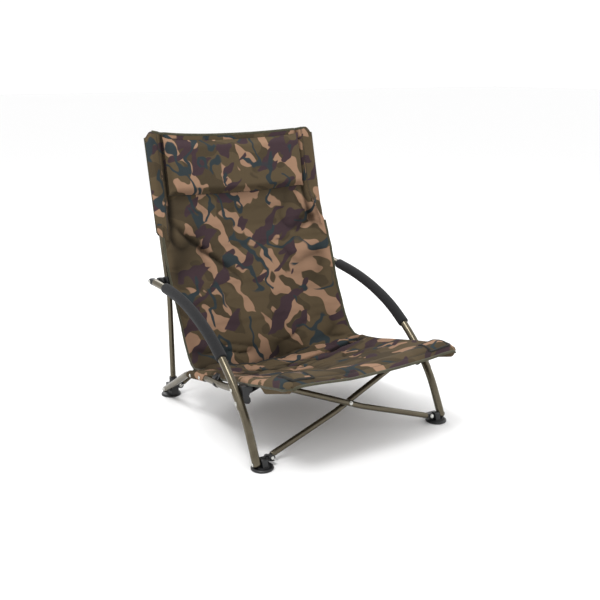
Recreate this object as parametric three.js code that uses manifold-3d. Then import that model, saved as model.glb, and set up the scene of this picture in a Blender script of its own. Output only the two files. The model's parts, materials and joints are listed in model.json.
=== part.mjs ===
// Carp fishing chair: a fabric sling hung in a tube frame that folds in from both sides.
// Millimetres, +Z up. The sitter faces -Y, and the chair's left side is -X.
// Depths are measured back from the front feet and heights from the ground. At the end the
// chair is moved so that its origin is the middle of the ground under its bounding box.
// Each pair of pieces is made for the right side (+X) and mirrored for the left.

import * as THREE from 'three';
import { mergeVertices } from 'three/addons/utils/BufferGeometryUtils.js';
import Module from 'manifold-3d';

const wasm = await Module();
wasm.setup();

const degree = Math.PI / 180;

// Clearances
const seatGap = 0.3;
const boreGap = 0.4;
const slideGap = 0.6;
const seamGap = 1;
const sideGap = 1.6;
const overrun = 4;

// Facets of the round shapes
const tubeSides = 10;
const pinSides = 8;
const arcSteps = 6;
const padSides = 18;
const bendStep = 9 * degree;

// Back posts: upright from the rear foot, then leaning back from a bend
const post = {
  radius: 8, halfSpread: 275.5, depth: 570, foot: 14, bendHeight: 319, bendRadius: 180,
  lean: 13.4 * degree, top: 766, capThickness: 4,
};

// Foot pads: a low disc with a chamfered rim
const pad = { radius: 29.5, height: 7, chamfer: 2.2, footChamfer: 1.5 };

// Rear feet: a hub block on the pad, with a socket for the post and a lug for the cross tube
const rearFoot = {
  wall: 3.7, padOutset: 2.5, padBehind: 14, hubFront: 12, hubBack: 31, hubTop: 36, socketTop: 62,
  hubBottom: 6, lugRound: 10, lugRootInset: 9,
};

// Rear cross tubes, each from a rear foot to the collar on the opposite post
const rearCross = {
  radius: 8, pinInset: 23.5, footPinBehind: 15, footPinHeight: 25, collarPinBehind: 14,
  lugThickness: 6, eyeRadius: 9, eyeNeck: 12, neckRadius: 6, spacerRadius: 7.5,
};

// Collars that slide on the posts and carry the arms
const collar = {
  height: 361, length: 27, wall: 3.9, earInset: 10, earThickness: 10.5, earRound: 13, bossHeight: 3.7,
  bossRadius: 7, pinBehind: 26, pinDrop: 3, pinRound: 10, bridgeWidth: 12, bridgeHeight: 22,
};

// Seat rails: a lower one from the rear foot, and an upper one that carries the front of the seat
const rails = { inset: 1.5, tipHeight: 243 };
const lowerRail = { radius: 9.5, pinHeight: 28, heel: 11, bendRadii: [60, 120, 300] };
const upperRail = { radius: 8, rearInset: 16, kneeInset: 6, tipInset: 21, kneeRadius: 150 };
// Rows are shares of the post's depth and of the rail tip's height, and for the lower rail also
// of the way in from its pin to the plane of the rails
const lowerRailShares = [
  [0.7105, 0.527, 0], [0.579, 0.5514, 1], [0.4035, 0.595, 1], [0.1825, 0.6935, 1],
];
const upperRailShares = [[0.5088, 0.612], [0.1175, 0.8428], [-0.1544, 1]];

// Plate that joins the two rails and carries the lug of the front cross tube
const railPlate = {
  thickness: 5, gap: 0.5, upperAhead: 21, upperRound: 8, lowerBehind: 10, lowerRound: 9, lugRound: 7.5,
  lugThickness: 5, lugRootRound: 6,
};

// Saddle that joins the rear end of the upper rail to the lower one
const saddle = { length: 18, wall: 3, ahead: 9 };

// Arm and front leg: one bent tube on each side, with a foam grip, a rear end fitting and a bracket
const arm = {
  radius: 11, footPinHeight: 17, endRound: 9.6, footEnd: 11, fittingLength: 14, steps: 20,
};
// Rows are shares of the reach, of the rise and of the sideways splay, from the foot to the rear
const armRouteShares = [
  [0, 0, 0], [0.083, 0.285, 0], [0.173, 0.474, 0], [0.251, 0.596, 0], [0.375, 0.752, 0],
  [0.508, 0.859, 0], [0.705, 0.954, 0], [0.873, 0.987, 0.35], [1, 1, 1],
];
const grip = { radius: 15.4, steps: 11 };
// Shares of the arm's reach where the grip starts and ends
const gripShares = [0.298, 0.873];
const bracket = {
  sleeveRadius: 14.8, sleeveSteps: 2, lugInset: 12, lugLength: 34, railGap: 10, lugBottom: 148,
  lugTop: 193,
};
// Shares of the arm's reach that the bracket's sleeve covers
const bracketShares = [0.126, 0.168];

// Front feet: a hub block beside the leg and a boss inside it for the cross tube
const frontFoot = {
  blockWidth: 16, blockHalfLength: 15, topRound: 11, padInset: 5.7, bossBehind: 8, bossAbove: 2,
  bossInset: 46.5, bossRadius: 8.5, webFront: 4, webBack: 7, webBelow: 7, webAbove: 6,
};

// Front cross tubes, each from a front foot to the rail end on the opposite side
const frontCross = {
  radius: 8, footOffset: 17.5, middleOffset: 9, bendAhead: 37, bendSag: 10.3, pastMiddle: 45,
  bendRadius: 150, railPinInset: 31, railPinAhead: 3, railPinDrop: 3.8, eyeRadius: 8, eyeNeck: 12,
  neckRadius: 6,
};

// Rivets
const rivet = { shankRadius: 2.5, headRadius: 5.5, headHeight: 2.4, tailRadius: 4.4, tailHeight: 1.4 };

// Fabric: the sleeves on the posts, the back, the head cushion, the seat and its pockets and tabs
const fabric = { thickness: 5, columns: 14, foldDepth: 3, foldCount: 5 };
const sleeve = { wall: 2, bottom: 485, crown: 13 };
const back = { hemInset: 23.5, collarInset: 12.5, collarGap: 9.5, rows: 12, billow: 14, topDip: 9.5 };
// Rows are shares of the width, depth and height gained from the hem to the collar, and then from
// there to the sleeve's foot
const backLowShares = [[0, 0, 0], [0.256, 0.387, 0.437], [0.533, 0.677, 0.701], [0.856, 0.908, 0.905]];
const backHighShares = [[0, 0, 0], [1, 0.552, 0.516], [1, 1, 1]];
const cushion = { thickness: 12, edge: 3.5, crown: 4, sideInset: 26, rows: 6 };
// Shares of the back's edge length where the cushion starts and ends
const cushionShares = [0.74, 0.985];
const seat = { rows: 13, rearInset: 23.5, middleInset: 27.5, frontInset: 34.5, sag: 38, frontSag: 13 };
// Rows are shares of the post's depth and of the rail tip's height
const seatEdgeShares = [
  [0.8334, 0.4856], [0.57, 0.646], [0.335, 0.786], [0.1225, 0.886], [-0.063, 0.957], [-0.177, 1.0125],
];
const pocket = { wall: 2.6, length: 62, nose: 5 };
const tab = { wall: 1, thickness: 1.6, rows: 3, tuck: 5 };
// Shares of the post's depth that the tab covers, and of the way from the rail to the seat's edge
const tabShares = [0.585, 0.695];
const tabReachShares = [0.3, 0.9];

const point = (x, y, z) => new THREE.Vector3(x, y, z);
const along = (origin, direction, distance) => origin.clone().addScaledVector(direction, distance);
const between = (start, end, share) => start.clone().lerp(end, share);
const heading = (from, to) => new THREE.Vector3().subVectors(to, from).normalize();
const outward = point(1, 0, 0);
const upward = point(0, 0, 1);

// A closed solid for joining and cutting, from any closed geometry
function solidOf(geometry) {
  const bare = new THREE.BufferGeometry();
  bare.setAttribute('position', geometry.getAttribute('position').clone());
  if (geometry.index) bare.setIndex(geometry.index.clone());
  const merged = mergeVertices(bare);
  const corners = merged.index.array;
  const kept = [];
  for (let i = 0; i < corners.length; i += 3) {
    const [a, b, c] = [corners[i], corners[i + 1], corners[i + 2]];
    if (a !== b && b !== c && c !== a) kept.push(a, b, c);
  }
  const build = (order) => new wasm.Manifold(new wasm.Mesh({
    numProp: 3,
    vertProperties: new Float32Array(merged.getAttribute('position').array),
    triVerts: new Uint32Array(order),
  }));
  const solid = build(kept);
  return solid.volume() < 0 ? build(kept.toReversed()) : solid;
}

function geometryOf(solid) {
  const mesh = solid.getMesh();
  const geometry = new THREE.BufferGeometry();
  geometry.setAttribute('position', new THREE.BufferAttribute(new Float32Array(mesh.vertProperties), 3));
  geometry.setIndex(new THREE.BufferAttribute(new Uint32Array(mesh.triVerts), 1));
  geometry.computeVertexNormals();
  return geometry;
}

const joined = (...solids) => solids.reduce((whole, piece) => whole.add(piece));
const cut = (solid, ...cutters) => cutters.reduce((whole, cutter) => whole.subtract(cutter), solid);
const mirrored = (solid) => solidOf(geometryOf(solid).scale(-1, 1, 1));
const acrossFrom = (place) => point(-place.x, place.y, place.z);

// A round bar from one point to another
function bar(from, to, radius, sides = tubeSides) {
  const geometry = new THREE.CylinderGeometry(radius, radius, from.distanceTo(to), sides);
  geometry.applyQuaternion(new THREE.Quaternion().setFromUnitVectors(point(0, 1, 0), heading(from, to)));
  geometry.translate(...between(from, to, 1 / 2).toArray());
  return solidOf(geometry);
}

// A round bar on an axis through a point, from one distance along it to another
function barOn(centre, axis, from, to, radius, sides = tubeSides) {
  return bar(along(centre, axis, from), along(centre, axis, to), radius, sides);
}

// A box centred on a point, with its edges along three square directions
function block(centre, sizes, directions) {
  const geometry = new THREE.BoxGeometry(...sizes);
  geometry.applyMatrix4(new THREE.Matrix4().makeBasis(...directions));
  geometry.translate(...centre.toArray());
  return solidOf(geometry);
}

// A box between two corners
function boxBetween(low, high) {
  const sizes = new THREE.Vector3().subVectors(high, low);
  return block(between(low, high, 1 / 2), sizes.toArray(), [outward, point(0, 1, 0), upward]);
}

// A flat link round two circles that are square to a direction, with a thickness along it
function link(from, to, fromRadius, toRadius, thickness, normal) {
  const run = new THREE.Vector3().subVectors(to, from);
  const u = run.clone().addScaledVector(normal, -run.dot(normal)).normalize();
  const v = new THREE.Vector3().crossVectors(normal, u);
  const length = run.dot(u);
  const open = Math.acos((fromRadius - toRadius) / length);
  const outline = new THREE.Shape();
  outline.absarc(0, 0, fromRadius, open, 2 * Math.PI - open, false);
  outline.absarc(length, 0, toRadius, -open, open, false);
  const settings = { depth: thickness, bevelEnabled: false, curveSegments: arcSteps };
  const geometry = new THREE.ExtrudeGeometry(outline, settings);
  geometry.translate(0, 0, -thickness / 2);
  geometry.applyMatrix4(new THREE.Matrix4().makeBasis(u, v, normal));
  geometry.translate(...from.toArray());
  return solidOf(geometry);
}

// A centre line of straight runs whose corners are rounded to a radius
class BentLine extends THREE.Curve {
  constructor(corners, radii) {
    super();
    this.stations = [corners[0].clone()];
    this.headings = [heading(corners[0], corners[1])];
    for (let i = 1; i < corners.length - 1; i += 1) this.roundCorner(corners, i, radii[i - 1]);
    this.stations.push(corners.at(-1).clone());
    this.headings.push(this.headings.at(-1).clone());
  }

  roundCorner(corners, i, radius) {
    const before = heading(corners[i - 1], corners[i]);
    const after = heading(corners[i], corners[i + 1]);
    const turn = before.angleTo(after);
    const start = along(corners[i], before, -radius * Math.tan(turn / 2));
    const inward = along(after, before, -after.dot(before)).normalize();
    const centre = along(start, inward, radius);
    const steps = Math.max(2, Math.ceil(turn / bendStep));
    for (let k = 0; k <= steps; k += 1) {
      const angle = (turn * k) / steps;
      const [aside, ahead] = [Math.sin(angle), Math.cos(angle)];
      const spoke = inward.clone().multiplyScalar(-ahead).addScaledVector(before, aside);
      this.stations.push(along(centre, spoke, radius));
      this.headings.push(before.clone().multiplyScalar(ahead).addScaledVector(inward, aside));
    }
  }

  get runs() {
    return this.stations.length - 1;
  }

  getPoint(t, target = new THREE.Vector3()) {
    return target.copy(this.stations[Math.round(t * this.runs)]);
  }

  getSpacedPoints() {
    return this.stations;
  }

  getTangentAt(t, target = new THREE.Vector3()) {
    return target.copy(this.headings[Math.round(t * this.runs)]);
  }
}

// The point of a bent line at a depth
function atDepth(line, depth) {
  const index = line.stations.findIndex((station, i) => {
    const next = line.stations[Math.min(i + 1, line.runs)];
    return (station.y - depth) * (next.y - depth) <= 0;
  });
  const [start, end] = [line.stations[index], line.stations[index + 1]];
  return between(start, end, (depth - start.y) / (end.y - start.y));
}

// How far along a curve, as a share of its length, a depth lies
function shareAtDepth(curve, depth) {
  const rising = curve.getPointAt(1).y > curve.getPointAt(0).y;
  let [low, high] = [0, 1];
  for (let i = 0; i < 40; i += 1) {
    const middle = (low + high) / 2;
    if ((curve.getPointAt(middle).y < depth) === rising) low = middle;
    else high = middle;
  }
  return low;
}

// A part of a longer curve
class Stretch extends THREE.Curve {
  constructor(whole, start, end) {
    super();
    Object.assign(this, { whole, start, end });
  }

  getPoint(t, target = new THREE.Vector3()) {
    return this.whole.getPointAt(this.start + (this.end - this.start) * t, target);
  }
}

// A round bar swept along a curve
function sweep(curve, radius, steps = curve.runs) {
  const round = new THREE.Shape();
  for (let i = 0; i < tubeSides; i += 1) {
    const angle = (2 * Math.PI * i) / tubeSides;
    const place = [radius * Math.cos(angle), radius * Math.sin(angle)];
    if (i === 0) round.moveTo(...place);
    else round.lineTo(...place);
  }
  return solidOf(new THREE.ExtrudeGeometry(round, { extrudePath: curve, steps, bevelEnabled: false }));
}

// A turned solid on an axis, from pairs of radius and distance along the axis
function turned(profile, centre, axis, sides) {
  const geometry = new THREE.LatheGeometry(profile.map(([r, h]) => new THREE.Vector2(r, h)), sides);
  geometry.applyQuaternion(new THREE.Quaternion().setFromUnitVectors(point(0, 1, 0), axis));
  geometry.translate(...centre.toArray());
  return solidOf(geometry);
}

// A rivet on an axis: its tail before one end of the grip, its head beyond the other
function rivetThrough(centre, axis, tailEnd, headEnd) {
  const tail = tailEnd - seatGap;
  const head = headEnd + seatGap;
  return turned([
    [0, tail - rivet.tailHeight], [rivet.tailRadius, tail - rivet.tailHeight], [rivet.tailRadius, tail],
    [rivet.shankRadius, tail], [rivet.shankRadius, head], [rivet.headRadius, head],
    [rivet.headRadius * Math.SQRT1_2, head + rivet.headHeight * Math.SQRT1_2],
    [0, head + rivet.headHeight],
  ], centre, axis, pinSides);
}

// The hole that a rivet runs in
const rivetBore = (centre, axis, from, to) => barOn(centre, axis, from, to, rivet.shankRadius + boreGap);

// A closed sheet over a surface of u (across, -1 to 1) and v (along, 0 to 1).
// The offset gives the distance of each side (1 or -1) from the surface.
function sheet(surface, columns, rows, offset) {
  const positions = [];
  const indices = [];
  const small = 1e-3;
  for (const side of [1, -1]) {
    for (let r = 0; r <= rows; r += 1) {
      for (let c = 0; c <= columns; c += 1) {
        const [u, v] = [(2 * c) / columns - 1, r / rows];
        const across = surface(u + small, v).sub(surface(u - small, v));
        const lengthwise = surface(u, v + small).sub(surface(u, v - small));
        const normal = across.cross(lengthwise).normalize();
        positions.push(...along(surface(u, v), normal, offset(u, v, side)).toArray());
      }
    }
  }
  const row = columns + 1;
  const layer = row * (rows + 1);
  const quad = (a, b, c, d) => indices.push(a, b, c, a, c, d);
  for (let r = 0; r < rows; r += 1) {
    for (let c = 0; c < columns; c += 1) {
      const k = r * row + c;
      quad(k, k + 1, k + row + 1, k + row);
      quad(layer + k, layer + k + row, layer + k + row + 1, layer + k + 1);
    }
  }
  for (let c = 0; c < columns; c += 1) {
    const last = rows * row + c;
    quad(layer + c, layer + c + 1, c + 1, c);
    quad(last, last + 1, layer + last + 1, layer + last);
  }
  for (let r = 0; r < rows; r += 1) {
    const [k, end] = [r * row, r * row + columns];
    quad(k, k + row, layer + k + row, layer + k);
    quad(end, layer + end, layer + end + row, end + row);
  }
  const geometry = new THREE.BufferGeometry();
  geometry.setAttribute('position', new THREE.Float32BufferAttribute(positions, 3));
  geometry.setIndex(indices);
  return solidOf(geometry);
}

const evenThickness = (thickness) => (u, v, side) => (side * thickness) / 2;

// Surface finishes
const finishes = {
  tube: { color: 0x6b6454, roughness: 0.42, metalness: 0.55 },
  moulding: { color: 0x1c1c1e, roughness: 0.55, metalness: 0 },
  foam: { color: 0x2b2b2d, roughness: 0.95, metalness: 0 },
  rivet: { color: 0xc9c9c6, roughness: 0.3, metalness: 0.9 },
  camouflage: { color: 0x5d4d38, roughness: 0.95, metalness: 0 },
  webbing: { color: 0x3f3d2b, roughness: 0.9, metalness: 0 },
};

const chair = new THREE.Group();

function add(name, solid, finish) {
  const mesh = new THREE.Mesh(geometryOf(solid), new THREE.MeshStandardMaterial(finish));
  mesh.name = name;
  chair.add(mesh);
}

function addPair(name, solid, finish) {
  add(`${name}_right`, solid, finish);
  add(`${name}_left`, mirrored(solid), finish);
}

// Directions of the leaning posts: up them, and back, square to them
const leanUp = point(0, Math.sin(post.lean), Math.cos(post.lean));
const leanBack = point(0, Math.cos(post.lean), -Math.sin(post.lean));

// Posts
const postAt = (height) => point(
  post.halfSpread,
  post.depth + Math.max(0, height - post.bendHeight) * Math.tan(post.lean),
  height,
);
const postCorners = [postAt(post.foot), postAt(post.bendHeight), postAt(post.top)];
const postLine = new BentLine(postCorners, [post.bendRadius]);
const postCutter = sweep(new BentLine([
  along(postCorners[0], upward, -seatGap), postCorners[1],
  along(postCorners[2], leanUp, post.capThickness + 2 * seatGap),
], [post.bendRadius]), post.radius + slideGap);

// Rails
const railX = post.halfSpread - rails.inset;
const hubOuterX = post.halfSpread + post.radius + rearFoot.wall;
const hubInnerX = post.halfSpread - post.radius - rearFoot.wall;
const lowerRailPin = point(hubOuterX + seatGap + lowerRail.radius, post.depth, lowerRail.pinHeight);
const onRails = (x, [depthShare, heightShare]) => (
  point(x, post.depth * depthShare, rails.tipHeight * heightShare)
);
const lowerRailCorners = lowerRailShares.map((shares) => (
  onRails(lowerRailPin.x + (railX - lowerRailPin.x) * shares[2], shares)
));
const lowerRailHeading = heading(lowerRailPin, lowerRailCorners[0]);
const lowerRailLine = new BentLine(
  [along(lowerRailPin, lowerRailHeading, -lowerRail.heel), ...lowerRailCorners],
  lowerRail.bendRadii,
);
const upperRailInsets = [upperRail.rearInset, upperRail.kneeInset, upperRail.tipInset];
const upperRailCorners = upperRailShares.map((shares, i) => onRails(railX - upperRailInsets[i], shares));
const upperRailLine = new BentLine(upperRailCorners, [upperRail.kneeRadius]);
const lowerRailCutter = sweep(lowerRailLine, lowerRail.radius + slideGap);
const upperRailCutter = sweep(upperRailLine, upperRail.radius + slideGap);

// Collars and arms
const armX = railX + lowerRail.radius + sideGap + grip.radius;
const collarCentre = postAt(collar.height);
const earInnerX = post.halfSpread + collar.earInset;
const earOuterX = earInnerX + collar.earThickness;
const armPin = point(
  earOuterX + collar.bossHeight + seatGap + arm.radius,
  collarCentre.y + collar.pinBehind,
  collar.height - collar.pinDrop,
);
const armFootPin = point(armX, 0, arm.footPinHeight);
const armPoints = armRouteShares.map(([reachShare, riseShare, splayShare]) => point(
  armX + (armPin.x - armX) * splayShare,
  armPin.y * reachShare,
  armFootPin.z + (armPin.z - armFootPin.z) * riseShare,
));
const armFootHeading = heading(armPoints[0], armPoints[1]);
const armRearHeading = heading(armPoints.at(-2), armPin);
const armTubeEnd = along(armPin, armRearHeading, -arm.fittingLength);
const armCurve = new THREE.CatmullRomCurve3([
  along(armFootPin, armFootHeading, -arm.footEnd), ...armPoints.slice(1, -1), armTubeEnd,
], false, 'centripetal');
const armCutter = sweep(armCurve, arm.radius + slideGap, arm.steps);
const armStretch = (shares) => (
  new Stretch(armCurve, ...shares.map((share) => shareAtDepth(armCurve, armPin.y * share)))
);

// Pins of the rear cross tubes
const rearCrossPinX = post.halfSpread - rearCross.pinInset;
const rearFootPin = point(rearCrossPinX, post.depth + rearCross.footPinBehind, rearCross.footPinHeight);
const collarPin = along(
  point(rearCrossPinX, collarCentre.y, collarCentre.z), leanBack, rearCross.collarPinBehind,
);
const rearCrossOffset = rearCross.lugThickness / 2 + seatGap + rearCross.radius;
const rearCrossFace = rearCrossOffset + rearCross.radius;

// Pins of the front cross tubes, and the directions up and back, square to their frame
const blockOuterX = armX - arm.radius - seatGap;
const blockInnerX = blockOuterX - frontFoot.blockWidth;
const frontFootPin = point(
  armX - frontFoot.bossInset, frontFoot.bossBehind, arm.footPinHeight + frontFoot.bossAbove,
);
const railPin = point(
  railX - frontCross.railPinInset,
  upperRailCorners[1].y - frontCross.railPinAhead,
  upperRailCorners[1].z - frontCross.railPinDrop,
);
const frontUp = point(0, railPin.y - frontFootPin.y, railPin.z - frontFootPin.z).normalize();
const frontBack = point(0, frontUp.z, -frontUp.y);
const frontCrossFace = frontCross.footOffset + frontCross.radius;

// Posts with the caps in their upper ends
function addPosts() {
  const pinBore = rivetBore(lowerRailPin, outward, -2 * (lowerRailPin.x - post.halfSpread), 0);
  addPair('post', cut(sweep(postLine, post.radius), pinBore), finishes.tube);
  const cap = barOn(postCorners[2], leanUp, seatGap, seatGap + post.capThickness, post.radius);
  addPair('post_cap', cap, finishes.moulding);
}

// A foot pad turned about the vertical
function footPad(x, y) {
  return turned([
    [0, 0], [pad.radius - pad.footChamfer, 0], [pad.radius, pad.footChamfer],
    [pad.radius, pad.height - pad.chamfer], [pad.radius - pad.chamfer, pad.height], [0, pad.height],
  ], point(x, y, 0), upward, padSides);
}

// The rivet of a rear cross tube's pin. The tube lies in front of the lug or, facing 1, behind it.
function crossRivet(pin, facing) {
  const axis = leanBack.clone().multiplyScalar(facing);
  return rivetThrough(pin, axis, -rearCross.lugThickness / 2, rearCrossFace);
}

// Rear feet, with the rivets of the lower rails and the cross tubes
function addRearFeet() {
  const hub = boxBetween(
    point(hubInnerX, post.depth - rearFoot.hubFront, rearFoot.hubBottom),
    point(hubOuterX, post.depth + rearFoot.hubBack, rearFoot.hubTop),
  );
  const socketRadius = post.radius + rearFoot.wall;
  const axisFoot = point(post.halfSpread, post.depth, 0);
  const socket = barOn(axisFoot, upward, rearFoot.hubBottom, rearFoot.socketTop, socketRadius, padSides);
  const lugRoot = point(hubInnerX + rearFoot.lugRootInset, rearFootPin.y, rearFootPin.z);
  const lug = link(
    rearFootPin, lugRoot, rearCross.eyeRadius, rearFoot.lugRound, rearCross.lugThickness, leanBack,
  );
  const padX = post.halfSpread + rearFoot.padOutset;
  const whole = joined(footPad(padX, post.depth + rearFoot.padBehind), hub, socket, lug);
  const railLine = point(0, lowerRailPin.y, lowerRailPin.z);
  const railBore = rivetBore(railLine, outward, 0, lowerRailPin.x);
  const lugBore = rivetBore(rearFootPin, leanBack, -rearCross.lugThickness, rearCross.lugThickness);
  addPair('rear_foot', cut(whole, postCutter, railBore, lugBore), finishes.moulding);

  const railRivet = rivetThrough(railLine, outward, hubInnerX, lowerRailPin.x + lowerRail.radius);
  addPair('rail_rivet', railRivet, finishes.rivet);
  add('rear_foot_rivet_right', crossRivet(rearFootPin, 1), finishes.rivet);
  add('rear_foot_rivet_left', crossRivet(acrossFrom(rearFootPin), -1), finishes.rivet);
}

// Collars with their rivets
function addCollars() {
  const reach = collar.length / 2;
  const tube = barOn(collarCentre, leanUp, -reach, reach, post.radius + slideGap + collar.wall, padSides);
  const earX = (earInnerX + earOuterX) / 2;
  const ear = link(
    point(earX, collarCentre.y, collarCentre.z), point(earX, armPin.y, armPin.z),
    collar.earRound, collar.pinRound, collar.earThickness, outward,
  );
  const pinLine = point(0, armPin.y, armPin.z);
  const boss = barOn(pinLine, outward, earInnerX, earOuterX + collar.bossHeight, collar.bossRadius);
  const bridgeX = post.halfSpread - post.radius;
  const lug = link(
    collarPin, point(bridgeX, collarPin.y, collarPin.z),
    rearCross.eyeRadius, collar.bridgeHeight / 2, rearCross.lugThickness, leanBack,
  );
  const bridgeDepth = rearCross.collarPinBehind + rearCross.lugThickness / 2;
  const bridgeCentre = along(collarCentre, leanBack, bridgeDepth / 2).setX(bridgeX);
  const bridgeSizes = [collar.bridgeWidth, bridgeDepth, collar.bridgeHeight];
  const bridge = block(bridgeCentre, bridgeSizes, [outward, leanBack, leanUp]);
  const bore = barOn(collarCentre, leanUp, -collar.length, collar.length, post.radius + slideGap);
  const armBore = rivetBore(pinLine, outward, 0, 2 * armPin.x);
  const lugBore = rivetBore(collarPin, leanBack, -rearCross.lugThickness, rearCross.lugThickness);
  const whole = joined(tube, ear, boss, lug, bridge);
  addPair('collar', cut(whole, bore, armBore, lugBore), finishes.moulding);

  const armRivet = rivetThrough(pinLine, outward, earInnerX, armPin.x + arm.radius);
  addPair('arm_rivet', armRivet, finishes.rivet);
  add('collar_rivet_right', crossRivet(collarPin, -1), finishes.rivet);
  add('collar_rivet_left', crossRivet(acrossFrom(collarPin), 1), finishes.rivet);
}

// An end fitting of a cross tube: an eye on a pin's axis with a neck that reaches the tube
function endFitting(centre, axis, direction, cross) {
  const eye = barOn(centre, axis, -cross.radius, cross.radius, cross.eyeRadius);
  const neck = barOn(centre, direction, 0, cross.eyeNeck - seatGap, cross.neckRadius);
  const bore = rivetBore(centre, axis, -cross.radius - overrun, cross.radius + overrun);
  return cut(joined(eye, neck), bore);
}

// Rear cross tubes: a lies in front and starts at the left foot, b behind and at the right foot
const rearCrossing = between(rearFootPin, collarPin, 1 / 2).setX(0);

function addRearCross(letter, footSide) {
  const shift = leanBack.clone().multiplyScalar(footSide * rearCrossOffset);
  const foot = rearFootPin.clone().setX(footSide * rearCrossPinX).add(shift);
  const top = collarPin.clone().setX(-footSide * rearCrossPinX).add(shift);
  const rise = heading(foot, top);
  const tube = bar(
    along(foot, rise, rearCross.eyeNeck), along(top, rise, -rearCross.eyeNeck), rearCross.radius,
  );
  const flatReach = rearCross.lugThickness / 2 + seatGap;
  const flat = barOn(rearCrossing, leanBack, -flatReach, flatReach, rearCross.spacerRadius + slideGap);
  const bore = rivetBore(rearCrossing, leanBack, -2 * rearCrossFace, 2 * rearCrossFace);
  add(`rear_cross_tube_${letter}`, cut(tube, flat, bore), finishes.tube);
  add(`rear_cross_foot_end_${letter}`, endFitting(foot, leanBack, rise, rearCross), finishes.moulding);
  const topEnd = endFitting(top, leanBack, rise.negate(), rearCross);
  add(`rear_cross_collar_end_${letter}`, topEnd, finishes.moulding);
}

// The rivet where the rear cross tubes cross, with the shoulder that keeps them apart
function addRearCrossing() {
  const reach = rearCross.lugThickness / 2;
  const shoulder = barOn(rearCrossing, leanBack, -reach, reach, rearCross.spacerRadius);
  const forward = leanBack.clone().negate();
  const seat = rearCrossFace + slideGap;
  const pin = rivetThrough(rearCrossing, forward, -seat, seat);
  add('rear_cross_rivet', joined(pin, shoulder), finishes.rivet);
}

// Arms with their grips and rear end fittings
function addArms() {
  const footLine = point(0, armFootPin.y, armFootPin.z);
  const reach = arm.radius + overrun;
  const rounding = cut(
    block(
      along(armFootPin, armFootHeading, -reach),
      [2 * reach, 2 * reach, 2 * reach],
      [outward, new THREE.Vector3().crossVectors(armFootHeading, outward), armFootHeading],
    ),
    barOn(footLine, outward, 0, 2 * armX, arm.endRound, padSides),
  );
  const footBore = rivetBore(footLine, outward, 0, 2 * armX);
  const tube = sweep(armCurve, arm.radius, arm.steps);
  addPair('arm_tube', cut(tube, rounding, footBore), finishes.tube);
  addPair('arm_grip', cut(sweep(armStretch(gripShares), grip.radius, grip.steps), armCutter), finishes.foam);

  const fitting = bar(
    along(armTubeEnd, armRearHeading, seatGap), along(armPin, armRearHeading, arm.radius), arm.radius,
  ).intersect(link(armTubeEnd, armPin, arm.radius, arm.radius, 2 * reach, outward));
  const pinLine = point(0, armPin.y, armPin.z);
  addPair('arm_end', cut(fitting, rivetBore(pinLine, outward, 0, 2 * armPin.x)), finishes.moulding);
}

// Brackets round the legs, with a lug that the upper rail rests on
function addBrackets() {
  const lugBack = lowerRailCorners.at(-1).y - bracket.railGap;
  const lug = boxBetween(
    point(railX - bracket.lugInset, lugBack - bracket.lugLength, bracket.lugBottom),
    point(armX - arm.radius, lugBack, bracket.lugTop),
  );
  const wrap = sweep(armStretch(bracketShares), bracket.sleeveRadius, bracket.sleeveSteps);
  addPair('leg_bracket', cut(joined(lug, wrap), armCutter, upperRailCutter), finishes.moulding);
}

// Front feet with their rivets
function addFrontFeet() {
  const blockX = (blockOuterX + blockInnerX) / 2;
  const bottom = pad.height - pad.footChamfer;
  const hub = link(
    point(blockX, 0, arm.footPinHeight), point(blockX, 0, bottom),
    frontFoot.topRound, frontFoot.blockHalfLength, frontFoot.blockWidth, outward,
  ).intersect(boxBetween(
    point(blockInnerX - overrun, -2 * frontFoot.blockHalfLength, bottom),
    point(blockOuterX + overrun, 2 * frontFoot.blockHalfLength, 2 * arm.footPinHeight),
  ));
  const bossReach = frontCross.footOffset - frontCross.radius - seatGap;
  const boss = barOn(frontFootPin, frontBack, -bossReach, bossReach, frontFoot.bossRadius);
  const web = boxBetween(
    point(frontFootPin.x, frontFootPin.y - frontFoot.webFront, frontFootPin.z - frontFoot.webBelow),
    point(blockOuterX, frontFootPin.y + frontFoot.webBack, frontFootPin.z + frontFoot.webAbove),
  );
  const footLine = point(0, armFootPin.y, armFootPin.z);
  const whole = cut(
    joined(footPad(blockOuterX - frontFoot.padInset, 0), hub, web, boss),
    rivetBore(footLine, outward, 0, 2 * armX),
    barOn(footLine, outward, frontFootPin.x, blockInnerX, rivet.tailRadius + boreGap),
    rivetBore(frontFootPin, frontBack, -bossReach - overrun, bossReach + overrun),
  );
  addPair('front_foot', whole, finishes.moulding);

  const legRivet = rivetThrough(footLine, outward, blockInnerX, armX + arm.radius);
  addPair('leg_rivet', legRivet, finishes.rivet);
  const tubeRivet = (pin, axis) => rivetThrough(pin, axis, -bossReach, frontCrossFace);
  add('front_foot_rivet_right', tubeRivet(frontFootPin, frontBack.clone().negate()), finishes.rivet);
  add('front_foot_rivet_left', tubeRivet(acrossFrom(frontFootPin), frontBack), finishes.rivet);
}

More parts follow.
